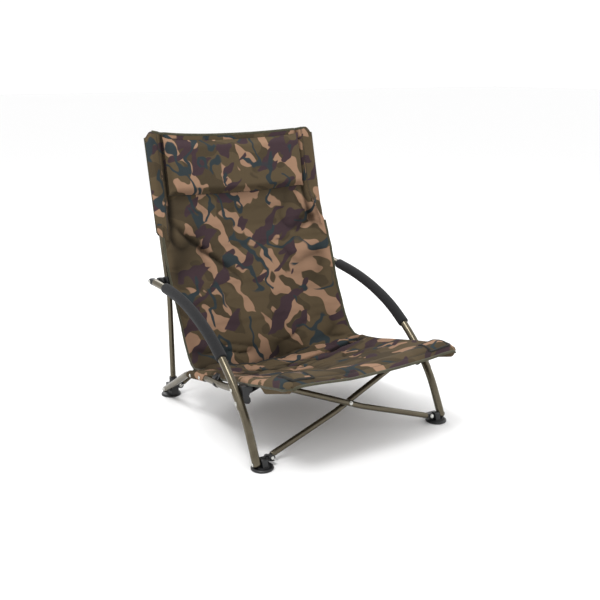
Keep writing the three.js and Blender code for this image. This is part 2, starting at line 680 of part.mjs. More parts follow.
// Front cross tubes: a lies behind and starts at the left foot, b in front and at the right foot
function addFrontCross(letter, footSide) {
  const place = (x, rise, offset) => (
    along(along(frontFootPin.clone().setX(x), frontUp, rise), frontBack, -footSide * offset)
  );
  const railRise = new THREE.Vector3().subVectors(railPin, frontFootPin).dot(frontUp);
  const chordShare = (frontFootPin.x - frontCross.bendAhead) / (frontFootPin.x + railPin.x);
  const bendRise = railRise * chordShare - frontCross.bendSag;
  const pastShare = (frontCross.bendAhead + frontCross.pastMiddle) / (frontCross.bendAhead + railPin.x);
  const pastRise = bendRise + (railRise - bendRise) * pastShare;
  const foot = place(footSide * frontFootPin.x, 0, frontCross.footOffset);
  const bend = place(footSide * frontCross.bendAhead, bendRise, frontCross.middleOffset);
  const past = place(-footSide * frontCross.pastMiddle, pastRise, frontCross.middleOffset);
  const tip = place(-footSide * railPin.x, railRise, 0);
  const footHeading = heading(foot, bend);
  const tipHeading = heading(tip, past);
  const line = new BentLine([
    along(foot, footHeading, frontCross.eyeNeck), bend, past, along(tip, tipHeading, frontCross.eyeNeck),
  ], [frontCross.bendRadius, frontCross.bendRadius]);
  add(`front_cross_tube_${letter}`, sweep(line, frontCross.radius), finishes.tube);
  const footEnd = endFitting(foot, frontBack, footHeading, frontCross);
  add(`front_cross_foot_end_${letter}`, footEnd, finishes.moulding);
  const railEnd = endFitting(tip, frontBack, tipHeading, frontCross);
  add(`front_cross_rail_end_${letter}`, railEnd, finishes.moulding);
}

// Rails with the plate that joins them
function addRails() {
  const upperPlace = atDepth(upperRailLine, upperRailCorners[1].y - railPlate.upperAhead);
  const lowerPlace = atDepth(lowerRailLine, lowerRailCorners.at(-1).y + railPlate.lowerBehind);
  const upperAxis = upperPlace.clone().setX(0);
  const lowerAxis = lowerPlace.clone().setX(0);
  const pinAxis = lowerRailPin.clone().setX(0);
  const upperBore = rivetBore(upperAxis, outward, 0, 2 * railX);
  const lowerBore = rivetBore(lowerAxis, outward, 0, 2 * railX);
  const pinBore = rivetBore(pinAxis, outward, hubOuterX, 2 * railX);
  addPair('lower_rail', cut(sweep(lowerRailLine, lowerRail.radius), lowerBore, pinBore), finishes.tube);
  addPair('upper_rail', cut(sweep(upperRailLine, upperRail.radius), upperBore), finishes.tube);

  const plateOuterX = railX - upperRail.kneeInset - upperRail.radius - railPlate.gap;
  const plateInnerX = plateOuterX - railPlate.thickness;
  const plateX = (plateOuterX + plateInnerX) / 2;
  const plate = link(
    upperAxis.clone().setX(plateX), lowerAxis.clone().setX(plateX),
    railPlate.upperRound, railPlate.lowerRound, railPlate.thickness, outward,
  );
  const bossEnd = railX - lowerRail.radius - seatGap;
  const boss = barOn(lowerAxis, outward, plateInnerX, bossEnd, railPlate.lowerRound);
  const lugMiddle = frontCross.radius + seatGap + railPlate.lugThickness / 2;
  const lugCentre = along(railPin, frontBack, -lugMiddle);
  const lug = link(
    lugCentre, lugCentre.clone().setX(plateOuterX - railPlate.lugRootRound),
    railPlate.lugRound, railPlate.lugRootRound, railPlate.lugThickness, frontBack,
  );
  const whole = cut(joined(plate, boss, lug), upperBore, lowerBore, upperRailCutter);
  addPair('rail_plate', whole, finishes.moulding);
}

// Saddle between the rails
function addSaddles() {
  const saddleDepth = upperRailCorners[0].y - saddle.ahead;
  const body = link(
    atDepth(lowerRailLine, saddleDepth), atDepth(upperRailLine, saddleDepth),
    lowerRail.radius + saddle.wall, upperRail.radius + saddle.wall, saddle.length, point(0, 1, 0),
  );
  const openSide = boxBetween(
    point(railX + saddle.wall, saddleDepth - saddle.length, 0),
    point(2 * railX, saddleDepth + saddle.length, 2 * rails.tipHeight),
  );
  addPair('rail_saddle', cut(body, openSide, lowerRailCutter, upperRailCutter), finishes.moulding);
}

// Sleeves of the back on the posts
const sleeveRadius = post.radius + slideGap + sleeve.wall;
const sleeveTop = along(postCorners[2], leanUp, post.capThickness + sleeve.crown);

function addSleeves() {
  const body = bar(postAt(sleeve.bottom), sleeveTop, sleeveRadius);
  addPair('post_sleeve', cut(body, postCutter), finishes.camouflage);
}

// Side edge of the back, from the hem to the sleeve's foot and then up beside the sleeve
const seatRear = onRails(0, seatEdgeShares[0]);
const backHem = point(
  post.halfSpread - back.hemInset, seatRear.y + fabric.thickness / 2 + seamGap, seatRear.z,
);
const backFree = postAt(sleeve.bottom).setX(post.halfSpread - sleeveRadius - slideGap);
const backTop = sleeveTop.clone().setX(backFree.x);
const backBesideCollar = point(
  post.halfSpread - back.collarInset, collarPin.y - rearCrossFace - back.collarGap, collar.height,
);
const onBack = (from, to, shares) => shares.map(([wide, deep, high]) => point(
  from.x + (to.x - from.x) * wide, from.y + (to.y - from.y) * deep, from.z + (to.z - from.z) * high,
));
const freeEdge = new THREE.CatmullRomCurve3([
  ...onBack(backHem, backBesideCollar, backLowShares),
  ...onBack(backBesideCollar, backFree, backHighShares),
], false, 'centripetal');
const freeLength = freeEdge.getLength();
const freeShare = freeLength / (freeLength + backFree.distanceTo(backTop));

function backEdge(v) {
  if (v > freeShare) return between(backFree, backTop, (v - freeShare) / (1 - freeShare));
  if (v < 0) return along(freeEdge.getPointAt(0), freeEdge.getTangentAt(0), v * freeLength);
  return freeEdge.getPointAt(v / freeShare);
}

// Across a sling: none of the sag at the edges and all of it in the middle
const bow = (u) => 1 - u * u;
const folds = (u) => fabric.foldDepth * Math.cos(fabric.foldCount * Math.PI * u) * bow(u);

// The back bows out behind, and its hem sags with the seat
function backSurface(u, v) {
  const edge = backEdge(v);
  const low = Math.min(1, Math.max(0, 1 - v));
  const hang = back.topDip + (seat.sag - back.topDip) * low ** 3;
  const belly = back.billow * bow(u) * Math.sin(Math.PI * low) + folds(u) * Math.sin(Math.PI * low ** 2);
  return point(edge.x * u, edge.y + belly, edge.z - hang * bow(u));
}

// Side edge of the seat, from the back to the front hem
const seatEdge = new THREE.CatmullRomCurve3(
  seatEdgeShares.map((shares) => onRails(0, shares)), false, 'centripetal',
);

function seatHalfWidth(v) {
  const inset = seat.rearInset + (seat.frontInset - seat.rearInset) * v;
  const drawnIn = seat.middleInset - (seat.rearInset + seat.frontInset) / 2;
  return railX - inset - drawnIn * Math.sin(Math.PI * v);
}

// The seat sags between the rails, least at the front hem, and has folds at the back
function seatSurface(u, v) {
  const kept = Math.min(1, Math.max(0, v));
  const past = (v - kept) * seatEdge.getLength();
  const edge = along(seatEdge.getPointAt(kept), seatEdge.getTangentAt(kept), past);
  const sag = seat.sag + (seat.frontSag - seat.sag) * kept;
  const fold = folds(u) * Math.sin(Math.PI * kept) * (1 - kept);
  return point(-seatHalfWidth(kept) * u, edge.y, edge.z - sag * bow(u) + fold);
}

function addSlings() {
  const even = evenThickness(fabric.thickness);
  add('back_sling', sheet(backSurface, fabric.columns, back.rows, even), finishes.camouflage);
  add('seat_sling', sheet(seatSurface, fabric.columns, seat.rows, even), finishes.camouflage);
}

// A cushion on the upper part of the back, thick in the middle and thin at its seams
function addCushion() {
  const widthShare = 1 - cushion.sideInset / backFree.x;
  const [low, high] = cushionShares;
  const surface = (u, v) => backSurface(u * widthShare, low + (high - low) * v);
  const fullness = (u, v) => Math.min(1, cushion.crown * Math.min(1 - Math.abs(u), v, 1 - v));
  const rear = fabric.thickness / 2 + slideGap;
  const swell = cushion.thickness - cushion.edge;
  const offset = (u, v, side) => (side < 0 ? rear : rear + cushion.edge + swell * fullness(u, v));
  add('head_cushion', sheet(surface, fabric.columns, cushion.rows, offset), finishes.camouflage);
}

// Pockets at the seat's front corners, on the tips of the upper rails
function addPockets() {
  const [tip, forward] = [upperRailLine.stations.at(-1), upperRailLine.headings.at(-1)];
  const bore = upperRail.radius + slideGap;
  const body = barOn(tip, forward, -pocket.length, pocket.nose, bore + pocket.wall);
  const hollow = barOn(tip, forward, -2 * pocket.length, seatGap, bore);
  addPair('corner_pocket', cut(body, hollow), finishes.camouflage);
}

// Tabs round the lower rails that reach up to the seat's side edges
function addTabs() {
  const [front, rear] = tabShares.map((share) => post.depth * share);
  const railPlace = (v) => atDepth(lowerRailLine, front + (rear - front) * v);
  const seatPlace = (v) => {
    const share = shareAtDepth(seatEdge, front + (rear - front) * v);
    const edge = seatEdge.getPointAt(share).setX(seatHalfWidth(share) - tab.tuck);
    return along(edge, upward, -fabric.thickness);
  };
  const [start, end] = tabReachShares;
  const flap = sheet(
    (u, v) => between(railPlace(v), seatPlace(v), start + ((end - start) * (1 + u)) / 2),
    2, tab.rows, evenThickness(tab.thickness),
  );
  const stations = Array.from({ length: tab.rows + 1 }, (_, i) => railPlace(i / tab.rows));
  const route = new THREE.CatmullRomCurve3(stations);
  const wrap = sweep(route, lowerRail.radius + slideGap + tab.wall, tab.rows);
  addPair('seat_tab', cut(joined(wrap, flap), lowerRailCutter), finishes.webbing);
}

addPosts();
addRearFeet();
addCollars();
addRearCross('a', -1);
addRearCross('b', 1);
addRearCrossing();
addArms();
addBrackets();
addFrontFeet();
addFrontCross('a', -1);
addFrontCross('b', 1);
addRails();
addSaddles();
addSleeves();
addSlings();
addCushion();
addPockets();
addTabs();

const bounds = new THREE.Box3().setFromObject(chair);
chair.position.y = -bounds.getCenter(new THREE.Vector3()).y;

export default chair;
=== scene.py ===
"""Carp fishing chair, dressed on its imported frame.

A camouflage fabric sling hangs in a folding frame of powder-coated tubes with foam arm grips.
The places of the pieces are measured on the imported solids, in metres: +Z is up, the sitter
faces -Y and the chair's left side is -X.
"""

import json
import logging
import math
from dataclasses import dataclass
from enum import Enum
from functools import cache
from typing import Callable, Sequence

import bmesh
import bpy
import numpy as np
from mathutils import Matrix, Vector


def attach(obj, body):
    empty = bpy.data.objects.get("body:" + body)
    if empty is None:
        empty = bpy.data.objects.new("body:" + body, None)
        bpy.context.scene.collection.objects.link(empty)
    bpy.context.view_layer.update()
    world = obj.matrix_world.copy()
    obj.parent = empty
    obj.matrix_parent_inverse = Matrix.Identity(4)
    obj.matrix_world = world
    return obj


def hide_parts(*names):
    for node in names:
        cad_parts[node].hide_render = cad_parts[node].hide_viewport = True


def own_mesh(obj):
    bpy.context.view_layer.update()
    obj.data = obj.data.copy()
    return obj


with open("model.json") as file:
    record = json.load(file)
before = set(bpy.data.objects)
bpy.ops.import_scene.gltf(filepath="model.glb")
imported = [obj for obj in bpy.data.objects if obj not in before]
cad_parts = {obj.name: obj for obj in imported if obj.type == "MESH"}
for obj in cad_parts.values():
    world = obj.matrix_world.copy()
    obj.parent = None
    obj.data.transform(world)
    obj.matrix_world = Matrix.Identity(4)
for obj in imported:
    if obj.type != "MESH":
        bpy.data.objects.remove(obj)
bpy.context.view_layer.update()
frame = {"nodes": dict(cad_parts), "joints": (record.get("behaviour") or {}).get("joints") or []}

log = logging.getLogger("chair")
Array = np.ndarray
Tree = bpy.types.NodeTree
Node = bpy.types.Node
Socket = bpy.types.NodeSocket
Piece = bpy.types.Object

OUTWARD = np.array([1.0, 0.0, 0.0])
BACKWARD = np.array([0.0, 1.0, 0.0])
UPWARD = np.array([0.0, 0.0, 1.0])


class Side(Enum):
    """The two sides of the chair, with the sign of their X."""

    LEFT = -1
    RIGHT = 1

    @property
    def word(self) -> str:
        """The side's name in node, body and piece names."""
        return self.name.lower()

    def node(self, stem: str) -> str:
        """The name of this side's node or piece."""
        return f"{stem}_{self.word}"

    def body(self, stem: str) -> str:
        """The name of this side's body."""
        return f"{self.word}_{stem}"


class PrintTone(Enum):
    """The inks of the woodland print, as sRGB."""

    OLIVE = "#504432"
    MOSS = "#43392a"
    TAN = "#8f715b"
    BARK = "#3b2d31"
    SLATE = "#2c3437"


def linear(colour: str) -> tuple[float, float, float, float]:
    """Turns an sRGB hex colour into a linear one.

    Args:
        colour: The colour as "#rrggbb".

    Returns:
        Linear red, green and blue, and an alpha of 1.
    """
    channels = [int(colour[i:i + 2], 16) / 255 for i in (1, 3, 5)]
    turned = [c / 12.92 if c <= 0.04045 else ((c + 0.055) / 1.055) ** 2.4 for c in channels]
    return (*turned, 1.0)


def add_node(
    tree: Tree, kind: str, sockets: dict[int | str, object] | None = None,
    feeds: Socket | None = None, **settings: object,
) -> Node:
    """Adds a shader node with its settings and links.

    Args:
        tree: The material's node tree.
        kind: The node's type name.
        sockets: For each input, by name or number, a value or the output that feeds it.
        feeds: An input that the node's first output feeds.
        **settings: Properties of the node.

    Returns:
        The new node.
    """
    node = tree.nodes.new(kind)
    for key, value in settings.items():
        setattr(node, key, value)
    for key, value in (sockets or {}).items():
        if isinstance(value, Socket):
            tree.links.new(value, node.inputs[key])
        else:
            node.inputs[key].default_value = value
    if feeds:
        tree.links.new(node.outputs[0], feeds)
    return node


@dataclass(frozen=True)
class Finish:
    """A surface finish, made as a material once and then shared.

    Attributes:
        name: The material's name.
        slot: The record's material slot; not used.
        colour: The main colour, sRGB.
        roughness: The shader's roughness.
        metallic: How much of the surface is metal.
        shade: The darker tone of its clouds, sRGB.
        cloud: The size of its clouds of tone, or 0 where the tone is even.
        grain: The width, depth and strength of its grain, where it has one.
    """

    name: str
    slot: str
    colour: str
    roughness: float
    metallic: float = 0.0
    shade: str = "#000000"
    cloud: float = 0.0
    grain: tuple[float, float, float] | None = None

    def dress(self, tree: Tree, shader: Node) -> None:
        """Adds the finish's own nodes, where it has some, to its tree and shader."""

    def material(self) -> bpy.types.Material:
        """Makes the finish's material, or finds it again.

        Returns:
            The material.
        """
        found = bpy.data.materials.get(self.name)
        if found:
            return found
        made = bpy.data.materials.new(self.name)
        made.use_nodes = True
        shader = made.node_tree.nodes["Principled BSDF"]
        shader.inputs["Base Color"].default_value = linear(self.colour)
        shader.inputs["Roughness"].default_value = self.roughness
        shader.inputs["Metallic"].default_value = self.metallic
        if self.cloud:
            mottle(made.node_tree, shader, self.colour, self.shade, self.cloud)
        if self.grain:
            add_grain(made.node_tree, shader, *self.grain)
        self.dress(made.node_tree, shader)
        return made


def mottle(tree: Tree, shader: Node, light: str, dark: str, size: float) -> None:
    """Varies the base colour softly between two tones.

    Args:
        tree: The material's node tree.
        shader: The surface shader.
        light: The lighter tone, sRGB.
        dark: The darker tone, sRGB.
        size: The size of the clouds in metres.
    """
    place = add_node(tree, "ShaderNodeTexCoord").outputs["Object"]
    cloud = add_node(
        tree, "ShaderNodeTexNoise", {"Vector": place, "Scale": 1 / size, "Detail": 3.0}
    )
    share = add_node(
        tree, "ShaderNodeMapRange",
        {"Value": cloud.outputs["Fac"], "From Min": 0.35, "From Max": 0.65},
    )
    mixed = add_node(
        tree, "ShaderNodeMix", {0: share.outputs["Result"], 6: linear(dark), 7: linear(light)},
        data_type="RGBA",
    )
    tree.links.new(mixed.outputs[2], shader.inputs["Base Color"])


def add_grain(tree: Tree, shader: Node, size: float, depth: float, strength: float) -> None:
    """Gives a surface a fine random grain as bump.

    Args:
        tree: The material's node tree.
        shader: The surface shader.
        size: The grain's width in metres.
        depth: The grain's depth in metres.
        strength: How much of the bump shows.
    """
    place = add_node(tree, "ShaderNodeTexCoord").outputs["Object"]
    noise = add_node(tree, "ShaderNodeTexNoise", {"Vector": place, "Scale": 1 / size, "Detail": 2.0})
    add_node(
        tree, "ShaderNodeBump",
        {"Height": noise.outputs["Fac"], "Distance": depth, "Strength": strength},
        shader.inputs["Normal"],
    )


@dataclass(frozen=True)
class PowderCoat(Finish):
    """Steel tube under a metallic polyester powder, sprayed dry and baked.

    The mica in the powder gives a broad warm highlight along the tube, and the baked skin a faint
    orange peel. The peel is drawn at 1.6 mm, coarser than the real 0.8 mm, so that it shows.

    Attributes:
        skin: The weight of the clear outer skin.
        skin_roughness: The skin's roughness.
    """

    name: str = "olive_powder_coated_steel"
    slot: str = "tube"
    colour: str = "#5e5747"
    roughness: float = 0.27
    metallic: float = 0.85
    shade: str = "#534c3d"
    cloud: float = 0.03
    grain: tuple[float, float, float] = (0.0016, 0.00008, 0.25)
    skin: float = 0.25
    skin_roughness: float = 0.3

    def dress(self, tree: Tree, shader: Node) -> None:
        """Adds the clear skin."""
        shader.inputs["Coat Weight"].default_value = self.skin
        shader.inputs["Coat Roughness"].default_value = self.skin_roughness


@dataclass(frozen=True)
class GlassFilledNylon(Finish):
    """Black glass-filled nylon, injection moulded in a spark-eroded tool.

    The tool's texture breaks the highlight into a soft satin. It is drawn at 0.9 mm.
    """

    name: str = "black_moulded_nylon"
    slot: str = "moulding"
    colour: str = "#141416"
    roughness: float = 0.4
    shade: str = "#0d0d0f"
    cloud: float = 0.012
    grain: tuple[float, float, float] = (0.0009, 0.0001, 0.35)


@dataclass(frozen=True)
class NitrileFoam(Finish):
    """Charcoal closed-cell foam sleeve, extruded and ground to size.

    Cut cells of about 0.7 mm leave a dull, finely pitted skin. They are drawn at 1.5 mm to show.

    Attributes:
        sheen: How much the cell walls catch light at a slant.
        cell: The width of a cell.
        pit: The depth of a cell.
    """

    name: str = "charcoal_cell_foam"
    slot: str = "foam"
    colour: str = "#161618"
    roughness: float = 0.95
    shade: str = "#101012"
    cloud: float = 0.004
    sheen: float = 0.06
    cell: float = 0.0015
    pit: float = 0.0004

    def dress(self, tree: Tree, shader: Node) -> None:
        """Adds the pitted cells and a soft sheen.

        Args:
            tree: The material's node tree.
            shader: The surface shader.
        """
        shader.inputs["Sheen Weight"].default_value = self.sheen
        shader.inputs["Sheen Roughness"].default_value = 0.5
        place = add_node(tree, "ShaderNodeTexCoord").outputs["Object"]
        cells = add_node(tree, "ShaderNodeTexVoronoi", {"Vector": place, "Scale": 1 / self.cell})
        add_node(
            tree, "ShaderNodeBump",
            {"Height": cells.outputs["Distance"], "Distance": self.pit, "Strength": 0.6},
            shader.inputs["Normal"],
        )


@dataclass(frozen=True)
class PlatedSteel(Finish):
    """Zinc-plated steel rivets, cold headed and barrel plated.

    Barrel plating leaves a bright metal with fine dents, which soften its reflections.
    """

    name: str = "zinc_plated_steel"
    slot: str = "rivet"
    colour: str = "#cfcfca"
    roughness: float = 0.27
    metallic: float = 1.0
    shade: str = "#b4b4b0"
    cloud: float = 0.003
    grain: tuple[float, float, float] = (0.0012, 0.00006, 0.3)


@dataclass(frozen=True)
class WovenTape(Finish):
    """Dark olive polyester grosgrain, woven with ribs across the tape.

    The ribs catch the light as fine cross lines. They are drawn every 1.8 mm to show.

    Attributes:
        rib: The distance between two ribs.
        rib_depth: Their depth.
        sheen: How much the yarn catches light at a slant.
    """

    name: str = "olive_grosgrain_tape"
    slot: str = "webbing"
    colour: str = "#403d2a"
    roughness: float = 0.9
    shade: str = "#33311f"
    cloud: float = 0.02
    rib: float = 0.0018
    rib_depth: float = 0.0003
    sheen: float = 0.14

    def dress(self, tree: Tree, shader: Node) -> None:
        """Adds the ribs and a textile sheen.

        Args:
            tree: The material's node tree.
            shader: The surface shader.
        """
        shader.inputs["Sheen Weight"].default_value = self.sheen
        place = add_node(tree, "ShaderNodeUVMap").outputs["UV"]
        ribs = add_node(
            tree, "ShaderNodeTexWave", {"Vector": place, "Scale": wave_scale(self.rib)},
            bands_direction="Y",
        )
        add_node(
            tree, "ShaderNodeBump",
            {"Height": ribs.outputs["Fac"], "Distance": self.rib_depth, "Strength": 0.5},
            shader.inputs["Normal"],
        )


@dataclass(frozen=True)
class SewingThread(Finish):
    """Black bonded nylon thread, twisted from three plies.

    The twist is too fine to show, so only its soft gloss is kept.
    """

    name: str = "black_nylon_thread"
    slot: str = "webbing"
    colour: str = "#1f1e18"
    roughness: float = 0.6
    shade: str = "#16150f"
    cloud: float = 0.006


def wave_scale(spacing: float) -> float:
    """The scale of a wave texture whose bands lie a distance apart."""
    return math.tau / 20 / spacing


@dataclass(frozen=True)
class PrintLayer:
    """One ink of the print.

    Attributes:
        tone: The ink.
        length: The usual length of its patches in metres.
        width: Their usual width in metres.
        turn: The direction of their length, in degrees from across the cloth.
        level: The noise level above which the ink is laid. A higher one leaves fewer patches.
        shift: The layer's own place in the noise.
        branching: Whether the ink runs in thin branches instead of patches.
    """

    tone: PrintTone
    length: float
    width: float
    turn: float
    level: float
    shift: float
    branching: bool = False


@dataclass(frozen=True)
class PrintedPolyester(Finish):
    """Coated 600-denier polyester, woven plain and roller printed in woodland camouflage.

    The inks sit in the yarn, so the print stays matt with crisp edges. The threads are 0.5 mm
    apart and are drawn at 1.5 mm, which lets the weave just show in the render. In the valleys
    of deep folds the print is darkened with painted shade, as far as the sheet's fold attribute says.

    Attributes:
        thread: The distance between two threads as drawn.
        thread_depth: The depth of the weave.
        warp_size: The size of the swirls that bend the patches.
        warp_reach: How far the swirls move a patch's edge.
        edge_blur: Half the step of the noise over which an ink's edge fades.
        crease: The size of the small creases.
        crease_depth: Their depth.
        fold_shade: The painted shade's tone that the print in a deep fold is multiplied by, sRGB.
        layers: The inks in the order in which they are laid.
    """

    name: str = "woodland_printed_polyester"
    slot: str = "camouflage"
    colour: str = PrintTone.OLIVE.value
    roughness: float = 0.95
    thread: float = 0.0015
    thread_depth: float = 0.0002
    warp_size: float = 0.055
    warp_reach: float = 0.05
    edge_blur: float = 0.006
    crease: float = 0.03
    crease_depth: float = 0.0035
    fold_shade: str = "#777672"
    layers: tuple[PrintLayer, ...] = (
        PrintLayer(PrintTone.MOSS, 0.14, 0.08, 20, 0.52, 3.1),
        PrintLayer(PrintTone.TAN, 0.088, 0.048, 52, 0.575, 11.7),
        PrintLayer(PrintTone.BARK, 0.096, 0.042, -38, 0.58, 27.3),
        PrintLayer(PrintTone.SLATE, 0.1, 0.08, 62, 0.52, 41.9, branching=True),
    )

    def cover(self, tree: Tree, place: Socket, layer: PrintLayer) -> Socket:
        """Works out where one ink lies.

        Args:
            tree: The material's node tree.
            place: The place on the cloth, already warped.
            layer: The ink.

        Returns:
            The output that is 1 where the ink lies and 0 elsewhere.
        """
        turned = add_node(
            tree, "ShaderNodeMapping",
            {"Vector": place, "Rotation": (0, 0, math.radians(layer.turn))},
        )
        scaled = add_node(
            tree, "ShaderNodeMapping",
            {
                "Vector": turned.outputs["Vector"],
                "Location": (layer.shift, layer.shift, layer.shift),
                "Scale": (1 / layer.length, 1 / layer.width, 1),
            },
        )
        noise = add_node(
            tree, "ShaderNodeTexNoise",
            {"Vector": scaled.outputs["Vector"], "Scale": 1.0, "Detail": 1.2, "Roughness": 0.42},
        )
        value, low, high = noise.outputs["Fac"], layer.level - self.edge_blur, layer.level + self.edge_blur
        if layer.branching:
            return self.branches(tree, value, scaled.outputs["Vector"], layer.level)
        return add_node(
            tree, "ShaderNodeMapRange", {"Value": value, "From Min": low, "From Max": high}
        ).outputs["Result"]

    def branches(self, tree: Tree, value: Socket, place: Socket, level: float) -> Socket:
        """Turns an ink's noise into thin branches that break off here and there.

        Args:
            tree: The material's node tree.
            value: The ink's noise.
            place: The place in that noise.
            level: The level of the noise that the branches follow.

        Returns:
            The output that is 1 on a branch and 0 elsewhere.
        """
        centred = add_node(tree, "ShaderNodeMath", {0: value, 1: level}, operation="SUBTRACT")
        away = add_node(tree, "ShaderNodeMath", {0: centred.outputs[0]}, operation="ABSOLUTE")
        ridge = add_node(
            tree, "ShaderNodeMapRange",
            {"Value": away.outputs[0], "From Min": 0.034, "From Max": 0.026},
        )
        breaks = add_node(
            tree, "ShaderNodeTexNoise", {"Vector": place, "Scale": 0.9, "Detail": 0.5}
        )
        gate = add_node(
            tree, "ShaderNodeMapRange",
            {"Value": breaks.outputs["Fac"], "From Min": 0.515, "From Max": 0.535},
        )
        return add_node(
            tree, "ShaderNodeMath", {0: ridge.outputs["Result"], 1: gate.outputs["Result"]},
            operation="MULTIPLY",
        ).outputs[0]

    def dress(self, tree: Tree, shader: Node) -> None:
        """Adds the print and the weave.

        Args:
            tree: The material's node tree.
            shader: The surface shader.
        """
        shader.inputs["Specular IOR Level"].default_value = 0.2
        flat = add_node(tree, "ShaderNodeUVMap").outputs["UV"]
        swirl = add_node(
            tree, "ShaderNodeTexNoise", {"Vector": flat, "Scale": 1 / self.warp_size, "Detail": 1.0}
        )
        centred = add_node(
            tree, "ShaderNodeVectorMath", {0: swirl.outputs["Color"], 1: (0.5, 0.5, 0.5)},
            operation="SUBTRACT",
        )
        warped = add_node(
            tree, "ShaderNodeVectorMath",
            {0: centred.outputs[0], 1: (self.warp_reach,) * 3, 2: flat}, operation="MULTIPLY_ADD",
        )
        colour = linear(self.colour)
        for layer in self.layers:
            mixed = add_node(
                tree, "ShaderNodeMix",
                {0: self.cover(tree, warped.outputs[0], layer), 7: linear(layer.tone.value)},
                data_type="RGBA",
            )
            if isinstance(colour, Socket):
                tree.links.new(colour, mixed.inputs[6])
            else:
                mixed.inputs[6].default_value = colour
            colour = mixed.outputs[2]
        if self.layers:
            # Painted shade: the print is multiplied darker in the cloth's fold valleys, as far as the
            # sheet's fold attribute says.
            painted_shade = add_node(tree, "ShaderNodeAttribute", attribute_name="painted_fold_shade")
            shaded_print = add_node(
                tree, "ShaderNodeMix",
                {0: painted_shade.outputs["Fac"], 6: colour, 7: linear(self.fold_shade)},
                data_type="RGBA", blend_type="MULTIPLY",
            )
            tree.links.new(shaded_print.outputs[2], shader.inputs["Base Color"])
        self.weave(tree, shader, flat)

    def weave(self, tree: Tree, shader: Node, flat: Socket) -> None:
        """Adds the plain weave and small creases as bump.

        Args:
            tree: The material's node tree.
            shader: The surface shader.
            flat: The place on the flat cloth in metres.
        """
        bands = [
            add_node(
                tree, "ShaderNodeTexWave", {"Vector": flat, "Scale": wave_scale(self.thread)},
                bands_direction=direction,
            )
            for direction in ("X", "Y")
        ]
        threads = add_node(
            tree, "ShaderNodeMath", {0: bands[0].outputs["Fac"], 1: bands[1].outputs["Fac"]},
            operation="MULTIPLY",
        )
        creases = add_node(
            tree, "ShaderNodeTexNoise",
            {"Vector": flat, "Scale": 1 / self.crease, "Detail": 3.0, "Distortion": 0.6},
        )
        coarse = add_node(
            tree, "ShaderNodeBump",
            {"Height": creases.outputs["Fac"], "Distance": self.crease_depth, "Strength": 0.45},
            shader.inputs["Normal"],
        )
        add_node(
            tree, "ShaderNodeBump",
            {"Height": threads.outputs[0], "Distance": self.thread_depth, "Strength": 0.35},
            coarse.inputs["Normal"],
        )


POWDER_COAT = PowderCoat()
NYLON = GlassFilledNylon()
FOAM = NitrileFoam()
PLATED = PlatedSteel()
TAPE = WovenTape()
SEAM_TAPE = WovenTape(
    name="dark_polyester_tape", colour="#1b1912", shade="#13110c", sheen=0.01
)
THREAD = SewingThread()
CAMOUFLAGE = PrintedPolyester()
PLAIN = PrintedPolyester(name="olive_dyed_polyester", layers=())


def unit(vector: Array) -> Array:
    """The vector with a length of 1, or each of several."""
    return vector / np.linalg.norm(vector, axis=-1, keepdims=True)


def square_pair(axis: Array) -> tuple[Array, Array]:
    """Two directions square to an axis and to each other."""
    guide = UPWARD if abs(axis[2]) < 0.9 else OUTWARD
    first = unit(np.cross(guide, axis))
    return first, np.cross(axis, first)


def smooth_step(value: Array | float) -> Array:
    """A soft step from 0 to 1 as the value goes from 0 to 1."""
    kept = np.clip(value, 0, 1)
    return kept * kept * (3 - 2 * kept)


def travelled(path: Array) -> Array:
    """How far along a path each of its points lies."""
    steps = np.linalg.norm(np.diff(path, axis=0), axis=1)
    return np.concatenate([[0], np.cumsum(steps)])


def between(places: Array | float, known: Array, points: Array) -> Array:
    """Points at some places of a line, from the known places of its points."""
    return np.stack([np.interp(places, known, points[:, k]) for k in range(3)], axis=-1)


def hump(value: Array, centre: float, width: float) -> Array:
    """A soft hump of height 1 round a centre."""
    return np.exp(-(((value - centre) / width) ** 2))


def lattice_noise(x: Array, y: Array, seed: int) -> Array:
    """Smooth random heights from -1 to 1, the same on each run.

    Args:
        x: First coordinates, in cells.
        y: Second coordinates, in cells.
        seed: The number that picks the pattern.

    Returns:
        One height for each pair of coordinates.
    """
    heights = np.random.default_rng(seed).uniform(-1, 1, (64, 64))
    column, row = np.floor(x).astype(int), np.floor(y).astype(int)
    across, along = smooth_step(x - column), smooth_step(y - row)
    near = heights[row % 64, column % 64] * (1 - across) + heights[row % 64, (column + 1) % 64] * across
    far = (
        heights[(row + 1) % 64, column % 64] * (1 - across)
        + heights[(row + 1) % 64, (column + 1) % 64] * across
    )
    return near * (1 - along) + far * along


def ridges(x: Array, y: Array, seed: int) -> Array:
    """Sharp-crested random folds from 0 to 1, for creases in cloth."""
    return (1 - np.abs(lattice_noise(x, y, seed))) ** 3


